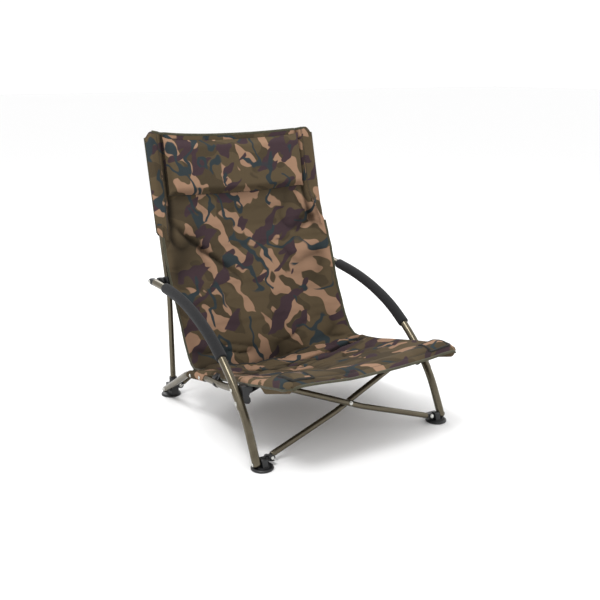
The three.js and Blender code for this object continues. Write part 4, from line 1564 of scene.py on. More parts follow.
@dataclass(frozen=True)
class Cloth:
    """How the chair's cloth is cut and hemmed.

    Attributes:
        thickness: The thickness of the two layers that are sewn together.
        tape_reach: Half the width of the binding that shows on each face.
        tape_thickness: Half the thickness of the bound edge.
        stitch: The length of a stitch.
        pitch: The distance between the starts of two stitches.
        thread: The thread's radius.
    """

    thickness: float = 0.0024
    tape_reach: float = 0.0042
    tape_thickness: float = 0.0023
    stitch: float = 0.0034
    pitch: float = 0.005
    thread: float = 0.0006

    def sheet(self, points: Array, flats: Array, thickness: float | None = None) -> Shape:
        """Makes a closed sheet over a grid of points.

        Args:
            points: The middle surface, by row and column.
            flats: The flat place of each point.
            thickness: The sheet's thickness, if it isn't the usual one.

        Returns:
            The shape, with its front layer first.
        """
        normals = surface_normals(points)
        half = (self.thickness if thickness is None else thickness) / 2
        return self.layers(points + normals * half, points - normals * half, flats)

    def layers(self, front: Array, rear: Array, flats: Array) -> Shape:
        """Makes a closed shape between two layers of cloth.

        Args:
            front: The front layer's points, by row and column.
            rear: The rear layer's points.
            flats: The flat place of each point of a layer.

        Returns:
            The shape, with its front layer first.
        """
        rows, columns = front.shape[:2]
        layer = rows * columns
        faces = []
        for r in range(rows - 1):
            for c in range(columns - 1):
                k = r * columns + c
                faces.append((k, k + 1, k + columns + 1, k + columns))
                faces.append((layer + k, layer + k + columns, layer + k + columns + 1, layer + k + 1))
        places = [r * columns + c for r, c in rim_places(rows, columns)]
        for a, b in zip(places, places[1:] + places[:1]):
            faces.append((a, layer + a, layer + b, b))
        vertices = np.vstack([front.reshape(-1, 3), rear.reshape(-1, 3)])
        flat = flats.reshape(-1, 2)
        return Shape().add(vertices, faces, np.vstack([flat, flat]))

    def pouch(self, rings: Array, flats: Array) -> Shape:
        """Makes a tube of cloth that has an inner and an outer face.

        Args:
            rings: The outer face, by ring and place on the ring.
            flats: The flat place of each point.

        Returns:
            The shape.
        """
        around = np.roll(rings, -1, axis=1) - np.roll(rings, 1, axis=1)
        inward = unit(np.cross(around, np.gradient(rings, axis=0)))
        middles = rings.mean(axis=1, keepdims=True)
        facing = np.sign(((middles - rings) * inward).sum(axis=2, keepdims=True).mean())
        inner = rings + inward * facing * self.thickness / 2
        both = np.concatenate([rings, inner[::-1]])
        return Shape().rings(both, np.concatenate([flats, flats[::-1]]), looped=True)

    def binding(self, path: Array, normals: Array) -> Shape:
        """Makes the tape that is folded round an edge.

        Args:
            path: The edge.
            normals: The cloth's normal along it.

        Returns:
            The shape.
        """
        headings = unit(np.gradient(path, axis=0))
        across = unit(np.cross(normals, headings))
        turns = np.linspace(0, math.tau, 12, endpoint=False)[None, :, None]
        rings = path[:, None] + (
            across[:, None] * np.cos(turns) * self.tape_reach
            + normals[:, None] * np.sin(turns) * self.tape_thickness
        )
        gone = travelled(path)
        flats = np.stack(np.broadcast_arrays(np.linspace(0, 0.02, 12)[None, :], gone[:, None]), axis=2)
        return Shape().rings(rings, flats)

    def stitches(self, path: Array, normals: Array) -> Shape:
        """Makes a row of stitches along a path on the cloth.

        Args:
            path: The seam.
            normals: The cloth's normal along it.

        Returns:
            The shape.
        """
        shape = Shape()
        length = path_length(path)
        gone = travelled(path)
        arch = np.array([-0.4, 0.35, 0.6, 0.35, -0.4]) * self.thread
        for start in np.arange(0, length - self.stitch, self.pitch):
            places = start + np.linspace(0, self.stitch, 5)
            points, outward = between(places, gone, path), between(places, gone, normals)
            shape.tube(points + outward * arch[:, None], np.full(5, self.thread), 6)
        return shape


def rim_places(rows: int, columns: int) -> list[tuple[int, int]]:
    """Lists the points round the rim of a grid.

    Args:
        rows: The grid's rows.
        columns: The grid's columns.

    Returns:
        The row and column of each, in order.
    """
    return (
        [(0, c) for c in range(columns - 1)] + [(r, columns - 1) for r in range(rows - 1)]
        + [(rows - 1, c) for c in range(columns - 1, 0, -1)] + [(r, 0) for r in range(rows - 1, 0, -1)]
    )


def surface_normals(points: Array) -> Array:
    """The normals of a grid of points, towards the sitter."""
    across = np.gradient(points, axis=1)
    along = np.gradient(points, axis=0)
    return unit(np.cross(across, along))


CLOTH = Cloth()


def bow(u: Array) -> Array:
    """The share of the sag across a sling: none at the edges and all in the middle."""
    return 1 - u * u


class SlingEdge:
    """The side edge of a sling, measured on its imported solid.

    Args:
        node: The sling's node.
        axis: The direction in which the sections are taken.
        low: The first section's place along the axis.
        high: The last section's place.
        reverse: Whether the edge's points run from the last section to the first.
        count: The number of sections.
    """

    def __init__(
        self, node: str, axis: Array, low: float, high: float, reverse: bool = False, count: int = 70
    ) -> None:
        """Measures the edge section by section."""
        scan = Scan(node)
        points = []
        for place in np.linspace(low + 2e-4, high - 2e-4, count):
            starts, _ = scan.outline(axis * place, axis)
            outer = starts[:, 0].max()
            rim = starts[starts[:, 0] > outer - 5e-4]
            points.append((rim.max(axis=0) + rim.min(axis=0)) / 2)
        self.points = np.array(points[::-1] if reverse else points)
        self.gone = travelled(self.points)

    @property
    def length(self) -> float:
        """The edge's length."""
        return float(self.gone[-1])

    def at(self, v: Array) -> Array:
        """The edge's points at shares of its length."""
        return between(np.clip(v, 0, 1) * self.length, self.gone, self.points)


@dataclass(frozen=True)
class BackSling:
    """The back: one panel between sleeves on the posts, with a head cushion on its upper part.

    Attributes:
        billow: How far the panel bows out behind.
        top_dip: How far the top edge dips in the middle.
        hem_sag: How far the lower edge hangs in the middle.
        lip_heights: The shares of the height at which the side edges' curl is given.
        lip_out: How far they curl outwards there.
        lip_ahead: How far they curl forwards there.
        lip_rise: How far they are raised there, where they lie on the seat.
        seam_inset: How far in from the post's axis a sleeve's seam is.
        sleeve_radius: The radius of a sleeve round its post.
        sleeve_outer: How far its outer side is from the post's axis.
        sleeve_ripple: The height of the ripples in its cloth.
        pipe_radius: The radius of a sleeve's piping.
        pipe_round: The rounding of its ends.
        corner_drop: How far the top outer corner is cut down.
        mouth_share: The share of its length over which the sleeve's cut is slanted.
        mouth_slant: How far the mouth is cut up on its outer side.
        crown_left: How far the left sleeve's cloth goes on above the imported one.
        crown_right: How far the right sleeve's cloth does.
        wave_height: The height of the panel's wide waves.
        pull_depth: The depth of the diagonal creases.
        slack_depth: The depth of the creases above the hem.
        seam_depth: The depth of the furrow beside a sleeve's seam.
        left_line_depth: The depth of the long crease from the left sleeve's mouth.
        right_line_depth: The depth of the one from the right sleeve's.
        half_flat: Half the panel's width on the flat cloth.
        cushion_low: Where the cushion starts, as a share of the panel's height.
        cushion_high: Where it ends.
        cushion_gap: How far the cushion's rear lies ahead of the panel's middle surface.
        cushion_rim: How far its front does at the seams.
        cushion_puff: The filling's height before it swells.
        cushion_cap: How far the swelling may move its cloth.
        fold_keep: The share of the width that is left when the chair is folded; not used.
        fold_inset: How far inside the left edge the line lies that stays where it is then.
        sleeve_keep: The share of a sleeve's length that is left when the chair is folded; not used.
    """

    billow: float = 0.014
    top_dip: float = 0.0095
    hem_sag: float = 0.038
    lip_heights: tuple[float, ...] = (0, 0.03, 0.07, 0.13, 0.3, 0.45, 0.57, 0.72)
    lip_out: tuple[float, ...] = (0.036, 0.031, 0.028, 0.026, 0.021, 0.021, 0.018, 0)
    lip_ahead: tuple[float, ...] = (0.1, 0.076, 0.06, 0.048, 0.036, 0.034, 0.03, 0)
    lip_rise: tuple[float, ...] = (0.026, 0.01, 0, 0, 0, 0, 0, 0)
    seam_inset: float = 0.028
    sleeve_radius: float = 0.0105
    sleeve_outer: float = 0.0135
    sleeve_ripple: float = 0.001
    pipe_radius: float = 0.0019
    pipe_round: float = 0.0015
    corner_drop: float = 0.018
    mouth_share: float = 0.2
    mouth_slant: float = 0.016
    crown_left: float = 0.008
    crown_right: float = 0.003
    wave_height: float = 0.0022
    pull_depth: float = 0.009
    slack_depth: float = 0.008
    seam_depth: float = 0.009
    left_line_depth: float = 0.011
    right_line_depth: float = 0.006
    half_flat: float = 0.262
    cushion_low: float = 0.732
    cushion_high: float = 0.985
    cushion_gap: float = 0.0016
    cushion_rim: float = 0.0035
    cushion_puff: float = 0.017
    cushion_cap: float = 0.006
    fold_keep: float = 0.238
    fold_inset: float = 0.0056
    sleeve_keep: float = 0.36

    def surface(self, u: Array, v: Array, relief: bool = True) -> Array:
        """Points of the panel's middle surface.

        Args:
            u: Shares across, from -1 on the left to 1 on the right.
            v: Shares up, from 0 at the hem to 1 at the top.
            relief: Whether the creases are on it.

        Returns:
            One point for each pair of shares.
        """
        edge = back_edge().at(v)
        low = 1 - v
        hang = self.top_dip + (self.hem_sag - self.top_dip) * low ** 3
        belly = self.billow * bow(u) * np.sin(np.pi * low)
        out, ahead, rise = self.lip(v)
        near = np.abs(u) ** 4
        bunched = self.crown_left * np.clip(-u, 0, 1) ** 5 * v ** 14
        points = np.stack(
            [
                (edge[..., 0] + out * near) * u,
                edge[..., 1] + belly - ahead * near,
                edge[..., 2] + rise * near - hang * bow(u) + bunched,
            ],
            axis=-1,
        )
        if relief:
            points = points + surface_normals(points) * self.relief(u, v)[..., None]
        return points

    def lip(self, v: Array) -> tuple[Array, ...]:
        """How far the side edges curl outwards, forwards and up at shares of the height."""
        curls = (self.lip_out, self.lip_ahead, self.lip_rise)
        return tuple(np.interp(v, self.lip_heights, curl) for curl in curls)

    def relief(self, u: Array, v: Array) -> Array:
        """Works out the panel's creases.

        Args:
            u: Shares across.
            v: Shares up.

        Returns:
            Their height towards the sitter.
        """
        x, y = u * 3.6, v * 6.0
        inside = 1 - np.abs(u)
        wide = self.wave_height * lattice_noise(x, y, 3) * bow(u)
        pulls = ridges(x * 1.5 + y * 1.3, y * 1.2 - x * 0.6, 8) * hump(v, 0.5, 0.2)
        pulls = -self.pull_depth * pulls * smooth_step(np.abs(u) * 1.6 - 0.4) * smooth_step(inside * 8)
        slack = ridges(x * 0.8, v * 26 + 0.8 * lattice_noise(x, y, 5), 12) * hump(v, 0.02, 0.1)
        slack = -self.slack_depth * slack * smooth_step(inside * 9)
        seam = -self.seam_depth * hump(np.abs(u), 0.885, 0.03) * smooth_step((v - 0.5) * 8)
        return wide + pulls + slack + seam + self.pull_lines(u, v)

    def pull_lines(self, u: Array, v: Array) -> Array:
        """Works out the two creases that run down from the sleeves' mouths to the middle.

        Args:
            u: Shares across.
            v: Shares up.

        Returns:
            Their height towards the sitter, which is negative.
        """
        left = np.clip((u + 0.93) / 0.85, 0, 1)
        right = np.clip((0.97 - u) / 0.3, 0, 1)
        low = hump(v, 0.66 - 0.3 * left ** 0.8, 0.016) * np.sin(np.pi * left) ** 0.6
        high = hump(v, 0.61 - 0.08 * right, 0.013) * np.sin(np.pi * right) ** 0.6
        return -self.left_line_depth * low - self.right_line_depth * high

    def flats(self, u: Array, v: Array) -> Array:
        """The place of each point on the flat cloth."""
        return np.stack([u * self.half_flat, v * back_edge().length], axis=-1)

    def build_panel(self) -> None:
        """Makes the panel with its bound top, hem and free side edges."""
        rows, columns = 150, 120
        v, u = np.meshgrid(np.linspace(0, 1, rows), np.linspace(-1, 1, columns), indexing="ij")
        points = self.surface(u, v)
        piece = place_piece(
            "back_panel", CLOTH.sheet(points, self.flats(u, v)), "left_frame", CAMOUFLAGE,
            ["back_sling"],
        )
        # Paints shade into the print along the back panel's crease valleys.
        paint_fold_shade(piece, self.relief(u, v), 0.01)
        back_edge().length + 0.02
        self.squash(piece)
        normals = surface_normals(points)
        free = np.argmax(v[:, 0] > self.sleeve_share) + 3
        edges = {
            "top": (points[-1], normals[-1]),
            "hem": (points[0], normals[0]),
            "left": (points[:free, 0], normals[:free, 0]),
            "right": (points[:free, -1], normals[:free, -1]),
        }
        for word, (path, facing) in edges.items():
            self.sew(f"back_binding_{word}", CLOTH.binding(path, facing), TAPE)

    def sew(self, name: str, shape: Shape, finish: Finish) -> None:
        """Adds a piece that is sewn to the panel, with its own copy of its mesh."""
        self.squash(place_piece(name, shape, "left_frame", finish))

    @property
    def sleeve_share(self) -> float:
        """Measures where the sleeves begin.

        Returns:
            A share of the panel's height.
        """
        low = Scan("post_sleeve_right").span(UPWARD)[0]
        edge = back_edge()
        return float(np.interp(low, edge.points[:, 2], edge.gone / edge.length))

    def squash(self, piece: Piece) -> None:
        """Gives a piece of the panel its own copy of its mesh."""
        anchor = (self.fold_inset - float(back_edge().points[-1, 0]), 0, 0)
        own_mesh(piece)

    def build_sleeve(self, side: Side) -> None:
        """Makes a sleeve: cloth round the post that is sewn to itself beside the panel.

        Args:
            side: Left or right.
        """
        node = side.node("post_sleeve")
        scan = Scan(node)
        up = RearFrame().upward
        low, high = scan.span(up)
        middle = scan.middle()
        foot = middle + up * (low - middle @ up)
        length = high - low + (self.crown_right if side is Side.RIGHT else self.crown_left)
        rows, around = 60, 44
        inboard = -OUTWARD * side.value
        backward = RearFrame().backward
        rings, flats = [], []
        for share in np.linspace(0, 1, rows):
            closing = smooth_step((share - 0.955) / 0.045)
            mouth = smooth_step((self.mouth_share - share) / self.mouth_share)
            top = smooth_step((share - 0.86) / 0.14)
            out, ahead_by, _ = self.lip(self.sleeve_share + (1 - self.sleeve_share) * share)
            ring = []
            for turn in np.linspace(0, -math.tau, around, endpoint=False):
                aside, ahead = math.cos(turn), math.sin(turn)
                pulled = max(0.0, aside) ** 2.2
                radius = self.sleeve_radius if aside > 0 else self.sleeve_outer
                reach = radius * aside + (self.seam_inset - radius) * pulled
                depth = self.sleeve_radius * ahead * (1 - 0.9 * pulled) * (1 - 0.84 * closing)
                loose = self.looseness(aside, ahead)
                drop = self.corner_drop * top * smooth_step(0.35 - 0.65 * aside)
                drop -= self.mouth_slant * mouth * max(-0.6, -aside)
                ripple = lattice_noise(share * 9 + side.value * 3, turn * 1.6 + 20, 21)
                ripple *= self.sleeve_ripple
                place = foot + up * (length * share - drop)
                place = place + inboard * (reach + ripple * aside - out * loose)
                ring.append(place + backward * (depth + ripple * ahead - ahead_by * loose))
            rings.append(ring)
            gone = np.linalg.norm(np.diff(ring, axis=0), axis=1).cumsum()
            start = abs(foot[0]) - self.seam_inset
            high = back_edge().length * (self.sleeve_share + (1 - self.sleeve_share) * share)
            flats.append([(side.value * (start + g), high) for g in (0, *gone)])
        shape = CLOTH.pouch(np.array(rings), np.array(flats))
        piece = place_piece(side.node("post_pocket"), shape, side.body("frame"), CAMOUFLAGE, [node])
        self.squash_sleeve(piece)
        self.build_sleeve_trim(side, foot, up, length)

    def looseness(self, aside: float, ahead: float) -> float:
        """How much of the edge's curl a sleeve's cloth follows.

        Args:
            aside: The place on the ring, from -1 on the outer side to 1 at the seam.
            ahead: The place on the ring, from -1 in front to 1 behind.

        Returns:
            A share from 0 at the post to nearly 1 at the seam.
        """
        front = 0.1 + 0.85 * ((1 + aside) / 2) ** 2.2
        rear = 0.95 * max(0.0, aside) ** 1.5
        return front + (rear - front) * float(smooth_step(0.5 + 0.8 * ahead))

    def squash_sleeve(self, piece: Piece) -> None:
        """Gives a piece of a sleeve its own copy of its mesh."""
        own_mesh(piece)

    def build_sleeve_trim(self, side: Side, foot: Array, up: Array, length: float) -> None:
        """Adds the piping down the sleeve's outer side and the stitches beside its seam.

        Args:
            side: Left or right.
            foot: The point of the post's axis where the sleeve starts.
            up: The direction up the post.
            length: The sleeve's length.
        """
        outer, behind = OUTWARD * side.value, RearFrame().backward
        body, top = side.body("frame"), foot + up * length
        shares = np.linspace(self.mouth_slant / length, 1, 50)
        drop = self.corner_drop * smooth_step((shares - 0.86) / 0.14)
        out, ahead, _ = self.lip(self.sleeve_share + (1 - self.sleeve_share) * shares)
        path = foot + np.outer(length * shares - drop, up) + outer * self.sleeve_outer
        path += np.outer(0.05 * out, outer) - np.outer(0.05 * ahead, behind)
        pipe = Shape().bar(path, self.pipe_radius, self.pipe_round, self.pipe_round, 12)
        self.squash_sleeve(place_piece(side.node("sleeve_piping"), pipe, body, TAPE))
        shares = np.linspace(0.01, 0.985, 50)
        out, ahead, _ = self.lip(self.sleeve_share + (1 - self.sleeve_share) * shares)
        seam = foot + np.outer(length * shares, up)
        seam = seam - outer * (self.seam_inset - 0.004) - behind * 0.0026
        seam += np.outer(0.82 * out, outer) - np.outer(0.82 * ahead, behind)
        stitches = CLOTH.stitches(seam, np.tile(-behind, (50, 1)))
        self.squash_sleeve(place_piece(side.node("sleeve_stitches"), stitches, body, THREAD))

    def build_cushion(self) -> None:
        """Makes the head cushion, swollen by a cloth simulation."""
        node = "head_cushion"
        source = Scan(node)
        half = max(source.span(OUTWARD))
        rows, columns = 34, 84
        v, u = np.meshgrid(
            np.linspace(self.cushion_low, self.cushion_high, rows), np.linspace(-1, 1, columns),
            indexing="ij",
        )
        edge_x = back_edge().at(v)[..., 0]
        base = self.surface(u * half / edge_x, v, relief=False)
        normals = surface_normals(base)
        down = (v - self.cushion_low) / (self.cushion_high - self.cushion_low)
        full = smooth_step((1 - np.abs(u)) * 10) * smooth_step(down * 7) * smooth_step((1 - down) * 6)
        front = base + normals * (self.cushion_rim + self.cushion_puff * full)[..., None]
        rear = base + normals * self.cushion_gap
        flats = np.stack([edge_x * u, v * back_edge().length + 0.35], axis=-1)
        shape = CLOTH.layers(front, rear, flats)
        piece = place_piece("head_pad", shape, "left_frame", CAMOUFLAGE, [node])
        swell(piece, self.cushion_cap)
        self.pucker(piece, rows, columns, down)
        self.squash(piece)
        self.build_cushion_seam(base, normals)

    def pucker(self, piece: Piece, rows: int, columns: int, down: Array) -> None:
        """Adds small puckers beside the cushion's seams.

        Args:
            piece: The cushion.
            rows: The rows of points in its front layer.
            columns: The columns of points.
            down: The share of the cushion's height at each point.
        """
        mesh = piece.data
        places = np.array([v.co for v in mesh.vertices])
        front = places[:rows * columns].reshape(rows, columns, 3)
        normals = surface_normals(front)
        u = np.linspace(-1, 1, columns)[None, :]
        near_low = np.exp(-down * 7)
        wave = lattice_noise(np.broadcast_to(u * 13, down.shape) + 20, down * 2.2 + 5, 31)
        near_side = np.exp(-(1 - np.abs(u)) * 14)
        side_wave = lattice_noise(np.broadcast_to(u * 2, down.shape) + 9, down * 7, 33)
        rise = 0.0022 * wave * near_low + 0.0025 * side_wave * near_side
        rise = rise * smooth_step((1 - np.abs(u)) * 30) * smooth_step(down * 12)
        moved = front + normals * rise[..., None]
        places[:rows * columns] = moved.reshape(-1, 3)
        mesh.vertices.foreach_set("co", places.ravel())
        mesh.update()

    def build_cushion_seam(self, base: Array, normals: Array) -> None:
        """Adds the stitches along the cushion's lower seam."""
        path = base[1] + normals[1] * 0.0042
        self.sew("cushion_stitches", CLOTH.stitches(path, normals[1]), THREAD)

    def build(self) -> None:
        """Makes the whole back."""
        self.build_panel()
        for side in Side:
            self.build_sleeve(side)
        self.build_cushion()


@cache
def back_edge() -> SlingEdge:
    """Measures the back's right side edge, once.

    Returns:
        The edge from the hem to the top.
    """
    scan = Scan("back_sling")
    rim = scan.points[scan.points[:, 0] > 0.95 * scan.span(OUTWARD)[1]]
    hem = scan.points[np.abs(scan.points[:, 0]) > 0.25]
    return SlingEdge("back_sling", UPWARD, hem[:, 2].min() + 0.003, rim[:, 2].max() - 0.001)


@cache
def seat_edge() -> SlingEdge:
    """The seat's right side edge from the back to the front hem, measured once."""
    low, high = Scan("seat_sling").span(BACKWARD)
    return SlingEdge("seat_sling", BACKWARD, low + 0.0005, high - 0.0005, reverse=True)


@cache
def rail_line() -> Array:
    """The right upper rail's centre line from the front to the rear, measured once."""
    path = Scan("upper_rail_right").centre_line(SeatRails().upper_radius)
    return path[np.argsort(path[:, 1])]


def swell(piece: Piece, cap: float) -> None:
    """Blows a closed piece up as cloth under pressure, and keeps the result.

    Args:
        piece: The piece.
        cap: The furthest that a point may move.
    """
    before = np.array([v.co for v in piece.data.vertices])
    cloth = piece.modifiers.new("swelling", "CLOTH")
    cloth.settings.use_pressure = True
    cloth.settings.uniform_pressure_force = 4
    cloth.settings.effector_weights.gravity = 0
    cloth.settings.quality = 5
    scene = bpy.context.scene
    for step in range(1, 15):
        scene.frame_set(step)
    graph = bpy.context.evaluated_depsgraph_get()
    after = np.array([v.co for v in piece.evaluated_get(graph).data.vertices])
    piece.modifiers.clear()
    scene.frame_set(1)
    moved = after - before
    far = np.linalg.norm(moved, axis=1, keepdims=True)
    kept = before + moved * np.minimum(1, cap / np.maximum(far, 1e-9))
    piece.data.vertices.foreach_set("co", kept.ravel())
    piece.data.update()


@dataclass(frozen=True)
class SeatSling:
    """The seat: one panel between the rails, with pockets on the rails' tips and tabs at its sides.

    Attributes:
        sag: How far the panel sags at the rear.
        front_sag: How far it sags at the front hem.
        flat_share: The share of its half width that lies between the rails.
        wrap_radius: The radius at which its sides turn down over the rails.
        wrap_turn: How far they turn down, in radians.
        rear_out: How far its rear corners reach out to meet the back's edges.
        slack_left: How far the left side stands above the rail.
        slack_right: How far the right side does.
        rear_rise: How far the rear stands above the measured surface.
        rear_lift: How much further it does at the hem.
        fold_depth: The depth of the long folds at the rear.
        fan_depth: The depth of the folds that fan out from the corners.
        wave_height: The height of the wide waves.
        hem_depth: The depth of the furrow at the front hem's seam.
        half_flat: Half the panel's width on the flat cloth.
        hem_width: The width of the front hem.
        patch_width: The width of the patch at each front corner.
        patch_length: The length of the patch.
        patch_thickness: The patch's thickness.
        pocket_radius: The radius of a corner pocket round its rail.
        pocket_length: The length of the pocket.
        pocket_hang: How far its lower side hangs away from the rail at its open end.
        tab_radius: The radius of a tab round the lower rail.
        tab_thickness: The tab's thickness.
        fold_keep: The share of the width that is left when the chair is folded; not used.
    """

    sag: float = 0.042
    front_sag: float = 0.018
    flat_share: float = 0.94
    wrap_radius: float = 0.0096
    wrap_turn: float = 2.1
    rear_out: float = 0.028
    slack_left: float = 0.001
    slack_right: float = 0.016
    rear_rise: float = 0.006
    rear_lift: float = 0.01
    fold_depth: float = 0.021
    fan_depth: float = 0.007
    wave_height: float = 0.0024
    hem_depth: float = 0.0016
    half_flat: float = 0.246
    hem_width: float = 0.026
    patch_width: float = 0.052
    patch_length: float = 0.05
    patch_thickness: float = 0.0012
    pocket_radius: float = 0.0112
    pocket_length: float = 0.127
    pocket_hang: float = 0.017
    tab_radius: float = 0.0108
    tab_thickness: float = 0.0014
    fold_keep: float = 0.2

    def surface(self, u: Array, v: Array) -> Array:
        """Points of the panel's middle surface.

        Args:
            u: Shares across, from -1 on the left to 1 on the right.
            v: Shares forward, from 0 at the back to 1 at the front hem.

        Returns:
            One point for each pair of shares.
        """
        edge = seat_edge().at(v)
        rail = rail_line()
        covered = smooth_step((rail[-1, 1] - edge[..., 1]) / 0.05)
        rounding = self.wrap_radius + 0.003 * smooth_step((v - 0.78) / 0.06)
        rail_x = np.interp(edge[..., 1], rail[:, 1], rail[:, 0])
        rail_z = np.interp(edge[..., 1], rail[:, 1], rail[:, 2]) + rounding
        behind = (1 - v) * seat_edge().length
        side_x = edge[..., 0] * (1 - covered) + rail_x * covered
        side_x = side_x + self.rear_out * hump(edge[..., 1], 0.075, 0.06)
        side_x = side_x - 0.02 * smooth_step((edge[..., 1] - 0.13) / 0.05)
        nose = smooth_step((0.03 - behind) / 0.03)
        side_x, rounding = side_x - 0.007 * nose, rounding * (1 - 0.35 * nose)
        side_z = edge[..., 2] * (1 - covered) + rail_z * covered
        slack = np.where(u > 0, self.slack_right, self.slack_left) * np.abs(u) ** 3
        side_z = side_z + slack * np.interp(v, (0, 0.2, 0.5, 1), (0.3, 1, 0.9, 0.3))
        across = np.clip(np.abs(u) / self.flat_share, 0, 1)
        turn = np.clip((np.abs(u) - self.flat_share) / (1 - self.flat_share), 0, 1) * self.wrap_turn
        sag = self.sag + (self.front_sag - self.sag) * v
        roll = 0.016 * hump(behind, 0.065, 0.045) * smooth_step((1 - np.abs(u)) * 6)
        roll = roll - (0.007 + 0.011 * np.abs(u) ** 6) * np.exp(-behind / 0.018)
        turn = turn * (1 - 0.5 * nose)
        points = np.stack(
            [
                np.sign(u) * (side_x * across + rounding * np.sin(turn)),
                edge[..., 1] + 0 * u,
                side_z - sag * bow(across) + roll - rounding * (1 - np.cos(turn)),
            ],
            axis=-1,
        )
        return points - surface_normals(points) * self.relief(u, v)[..., None]

    def relief(self, u: Array, v: Array) -> Array:
        """Works out the panel's creases.

        Args:
            u: Shares across.
            v: Shares forward.

        Returns:
            Their height upwards.
        """
        x = u * 3.2
        drift = lattice_noise(x, v * 5, 41)
        free = smooth_step((self.flat_share - np.abs(u)) * 10)
        rear = ridges(x * 0.5 + 2, v * 15 + 1.3 * drift - 0.5 * x, 44) * np.exp(-(v / 0.42) ** 2)
        rise = self.rear_rise + self.rear_lift * np.exp(-v / 0.06)
        rear = rise - self.fold_depth * rear * smooth_step(v * 9 - 0.2)
        rear = rear * np.exp(-(v / 0.5) ** 2)
        fans = ridges(x * 1.2 - v * 3, v * 11 + x * 1.4, 47) * np.exp(-(v / 0.6) ** 2)
        fans = -self.fan_depth * fans
        wide = self.wave_height * lattice_noise(x * 0.9, v * 4, 52)
        hem = -self.hem_depth * hump(v, 1 - self.hem_width / seat_edge().length, 0.008)
        return (rear + fans + wide) * free + hem

    def flats(self, u: Array, v: Array) -> Array:
        """The place of each point on the flat cloth."""
        return np.stack([u * self.half_flat + 0.1, 1.6 - v * seat_edge().length], axis=-1)

    def squash(self, piece: Piece) -> None:
        """Gives a piece of the seat its own copy of its mesh."""
        anchor = (-float(seat_edge().points[0, 0]), 0, 0)
        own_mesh(piece)

    def build_panel(self) -> None:
        """Makes the panel with its bound edges and the stitches of its hem."""
        rows, columns = 170, 120
        v, u = np.meshgrid(np.linspace(0, 1, rows), np.linspace(-1, 1, columns), indexing="ij")
        points = self.surface(u, v)[:, ::-1]
        flats = self.flats(u, v)[:, ::-1]
        piece = place_piece(
            "seat_panel", CLOTH.sheet(points, flats), "seat", CAMOUFLAGE, ["seat_sling"]
        )
        # Paints shade into the print along the seat panel's crease valleys.
        paint_fold_shade(piece, self.relief(u, v)[:, ::-1], 0.006)
        seat_edge().length + 0.03
        self.squash(piece)
        normals = surface_normals(points)
        edges = {
            "front": (points[-1], normals[-1]),
            "rear": (points[0], normals[0]),
            "left": (points[:, -1], normals[:, -1]),
            "right": (points[:, 0], normals[:, 0]),
        }
        for word, (path, facing) in edges.items():
            tape = CLOTH.binding(path[1:-1], facing[1:-1])
            self.sew(f"seat_binding_{word}", tape, SEAM_TAPE if word == "rear" else TAPE)
        row = round((1 - self.hem_width / seat_edge().length) * (rows - 1))
        path = points[row, 4:-4] + normals[row, 4:-4] * CLOTH.thickness / 2
        self.sew("seat_hem_stitches", CLOTH.stitches(path, normals[row, 4:-4]), THREAD)

    def sew(self, name: str, shape: Shape, finish: Finish) -> None:
        """Adds a piece that is sewn to the panel, with its own copy of its mesh."""
        self.squash(place_piece(name, shape, "seat", finish))

    def build_patch(self, side: Side) -> None:
        """Adds the sewn patch over the rail's tip at a front corner.

        Args:
            side: Left or right.
        """
        length = seat_edge().length
        half = float(seat_edge().points[-1, 0])
        low, high = 1 - (self.hem_width + self.patch_length) / length, 1 - self.hem_width / length + 0.012
        outer, inner = self.flat_share - 0.03, self.flat_share - 0.03 - self.patch_width / half
        count = 24
        v, u = np.meshgrid(
            np.linspace(low, high, count), side.value * np.linspace(inner, outer, count), indexing="ij"
        )
        points = self.surface(u, v)
        if side is Side.RIGHT:
            points, u, v = points[:, ::-1], u[:, ::-1], v[:, ::-1]
        normals = surface_normals(points)
        points = points + normals * (CLOTH.thickness / 2 + 0.0006)
        shape = CLOTH.sheet(points, self.flats(u, v) + [0.37, 0.21], self.patch_thickness)
        piece = place_piece(side.node("corner_patch"), shape, "seat", CAMOUFLAGE)
        self.squash(piece)
        rim = tuple(np.array(rim_places(count, count) + [(0, 0)]).T)
        inset = points * 0.93 + points.mean(axis=(0, 1)) * 0.07
        path, facing = inset[rim] + normals[rim] * 0.0012, normals[rim]
        self.sew(side.node("corner_patch_tape"), CLOTH.binding(points[rim], facing), SEAM_TAPE)
        self.sew(side.node("corner_patch_stitches"), CLOTH.stitches(path, facing), THREAD)

    def build_pocket(self, side: Side) -> None:
        """Makes the pocket on a rail's tip: cloth round the rail that reaches up to the seat.

        Args:
            side: Left or right.
        """
        node = side.node("corner_pocket")
        front = Scan(node).span(BACKWARD)[0]
        rail = rail_line() * [side.value, 1, 1]
        length = self.pocket_length
        rows, around = 34, 40
        rings, flats = [], []
        for share in np.linspace(0, 1, rows):
            depth = front + length * (1 - share)
            centre = between(depth, rail[:, 1], rail)
            nose = math.sqrt(max(0.0, 1 - max(0.0, (share - 0.9) / 0.1) ** 2.2))
            mouth = smooth_step(share / 0.14)
            radius = self.pocket_radius * max(0.3, nose)
            ring = []
            for turn in np.linspace(0, math.tau, around, endpoint=False):
                aside, rise = math.cos(turn), math.sin(turn)
                hang = self.pocket_hang * (1 - 0.6 * share) * mouth * max(0.0, -rise) ** 1.2
                place = centre + OUTWARD * radius * aside * (1 - 0.35 * max(0.0, -rise))
                place = place + UPWARD * (radius * rise - hang * nose)
                ring.append(place * [1, 0, 1] + BACKWARD * depth)
            rings.append(ring)
            flats.append(
                [(0.4 + 0.011 * k, 2.1 + length * share) for k in np.linspace(0, 6.3, around)]
            )
        shape = CLOTH.pouch(np.array(rings), np.array(flats))
        piece = place_piece(side.node("rail_pocket"), shape, side.body("rail"), PLAIN, [node])

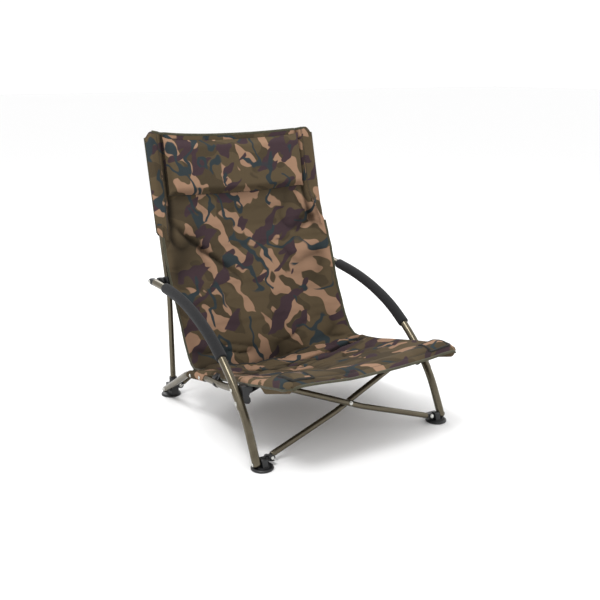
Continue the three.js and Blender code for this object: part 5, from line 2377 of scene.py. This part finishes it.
    def build_tab(self, side: Side) -> None:
        """Makes the tab that holds the seat's side edge to the lower rail, with its rivets.

        Args:
            side: Left or right.
        """
        node, body = side.node("seat_tab"), side.body("rail")
        scan = Scan(node)
        front, rear = scan.span(BACKWARD)
        rail = Scan(side.node("lower_rail"))
        rows, steps = 26, 30
        radius = self.tab_radius
        rings, flats = [], []
        for share in np.linspace(0, 1, rows):
            depth = front + (rear - front) * share
            centre = rail.at(BACKWARD, depth)
            edge = self.edge_at(depth) * [side.value, 1, 1]
            target = edge - OUTWARD * side.value * 0.008 - UPWARD * 0.0035
            away = unit((target - centre) * [1, 0, 1])
            square = np.array([-away[2], 0, away[0]])
            ring = []
            for turn in np.linspace(-2.2, 2.2, steps):
                ring.append(centre - (away * math.cos(turn) + square * math.sin(turn)) * radius)
            ring = [target + square * 0.0008, *ring, target - square * 0.0008]
            rings.append(ring)
            flats.append([(0.9 + 0.002 * k, 3 + 0.06 * share) for k in range(len(ring))])
        shape = CLOTH.sheet(np.array(rings), np.array(flats), self.tab_thickness)
        piece = place_piece(side.node("rail_tab"), shape, body, CAMOUFLAGE, [node])
        for number, share in enumerate((0.25, 0.78)):
            depth = front + (rear - front) * share
            centre = rail.at(BACKWARD, depth)
            axis = OUTWARD * side.value
            rivet_head(f"tab_rivet_{side.word}_{number}", centre + axis * (radius + 0.0002), axis, body)

    def edge_at(self, depth: float) -> Array:
        """The seat's right edge at a depth."""
        points = seat_edge().points
        points = points[np.argsort(points[:, 1])]
        return between(depth, points[:, 1], points)

    def build(self) -> None:
        """Makes the whole seat."""
        self.build_panel()
        for side in Side:
            self.build_patch(side)
            self.build_pocket(side)
            self.build_tab(side)


@dataclass(frozen=True)
class Studio:
    """The plain pale floor, the soft lights and the camera.

    Attributes:
        eye: The camera's place.
        azimuth: The camera's turn about the vertical in degrees.
        elevation: How far the camera looks down in degrees.
        lens: The lens in millimetres on a sensor of 36 mm.
        floor_half: Half the floor's width.
        floor_colour: The floor's colour, sRGB.
        target: The point that the lights face.
        lights: Each light's name, place, side of its square and power in watts.
        sky: The brightness of the white surroundings.
    """

    eye: tuple[float, float, float] = (-1.2201, -1.9909, 0.9767)
    azimuth: float = -31.71
    elevation: float = 15.5
    lens: float = 50.7
    floor_half: float = 30.0
    floor_colour: str = "#f4f4f4"
    target: tuple[float, float, float] = (0, 0, 0.35)
    lights: tuple[tuple[str, tuple[float, float, float], float, float], ...] = (
        ("key", (-1.3, -0.9, 3.6), 1.0, 66), ("fill", (3.0, -1.6, 1.8), 2.4, 10),
        ("rim", (0.6, 3.0, 2.6), 2.0, 40),
    )
    sky: float = 1.08

    def build_camera(self) -> None:
        """Makes the camera at the photograph's viewing angle."""
        data = bpy.data.cameras.new("camera")
        data.lens = self.lens
        camera = bpy.data.objects.new("camera", data)
        camera.location = self.eye
        camera.rotation_euler = (math.radians(90 - self.elevation), 0, math.radians(self.azimuth))
        bpy.context.scene.collection.objects.link(camera)
        bpy.context.scene.camera = camera

    def build_floor(self) -> None:
        """Makes the floor."""
        half = self.floor_half
        mesh = bpy.data.meshes.new("floor")
        mesh.from_pydata(
            [(-half, -half, 0), (half, -half, 0), (half, half, 0), (-half, half, 0)], [], [(0, 1, 2, 3)]
        )
        floor = bpy.data.objects.new("floor", mesh)
        bpy.context.scene.collection.objects.link(floor)
        material = bpy.data.materials.new("studio_floor")
        material.use_nodes = True
        shader = material.node_tree.nodes["Principled BSDF"]
        shader.inputs["Base Color"].default_value = linear(self.floor_colour)
        shader.inputs["Roughness"].default_value = 0.9
        mesh.materials.append(material)

    def build_light(self, name: str, place: Sequence[float], size: float, power: float) -> None:
        """Adds one soft light.

        Args:
            name: Its name.
            place: Where it stands.
            size: The side of its square.
            power: Its power in watts.
        """
        data = bpy.data.lights.new(name, "AREA")
        data.size = size
        data.energy = power
        light = bpy.data.objects.new(name, data)
        light.location = place
        aim = Vector(self.target) - Vector(place)
        light.rotation_euler = aim.to_track_quat("-Z", "Y").to_euler()
        bpy.context.scene.collection.objects.link(light)

    def build(self) -> None:
        """Makes the whole studio."""
        self.build_camera()
        self.build_floor()
        for light in self.lights:
            self.build_light(*light)
        world = bpy.data.worlds.new("studio")
        world.use_nodes = True
        background = world.node_tree.nodes["Background"]
        background.inputs["Color"].default_value = linear("#ffffff")
        background.inputs["Strength"].default_value = self.sky
        bpy.context.scene.world = world
        bpy.context.scene.view_settings.view_transform = "Standard"


def main() -> None:
    """Builds the chair and its studio."""
    logging.basicConfig(level=logging.INFO, format="%(name)s: %(message)s")
    parts: Sequence[Callable[[], None]] = (
        RearFrame().build, ArmFrame().build, FrontScissor().build, SeatRails().build,
        BackSling().build, SeatSling().build, Studio().build,
    )
    for build in parts:
        build()


if __name__ == "__main__":
    main()
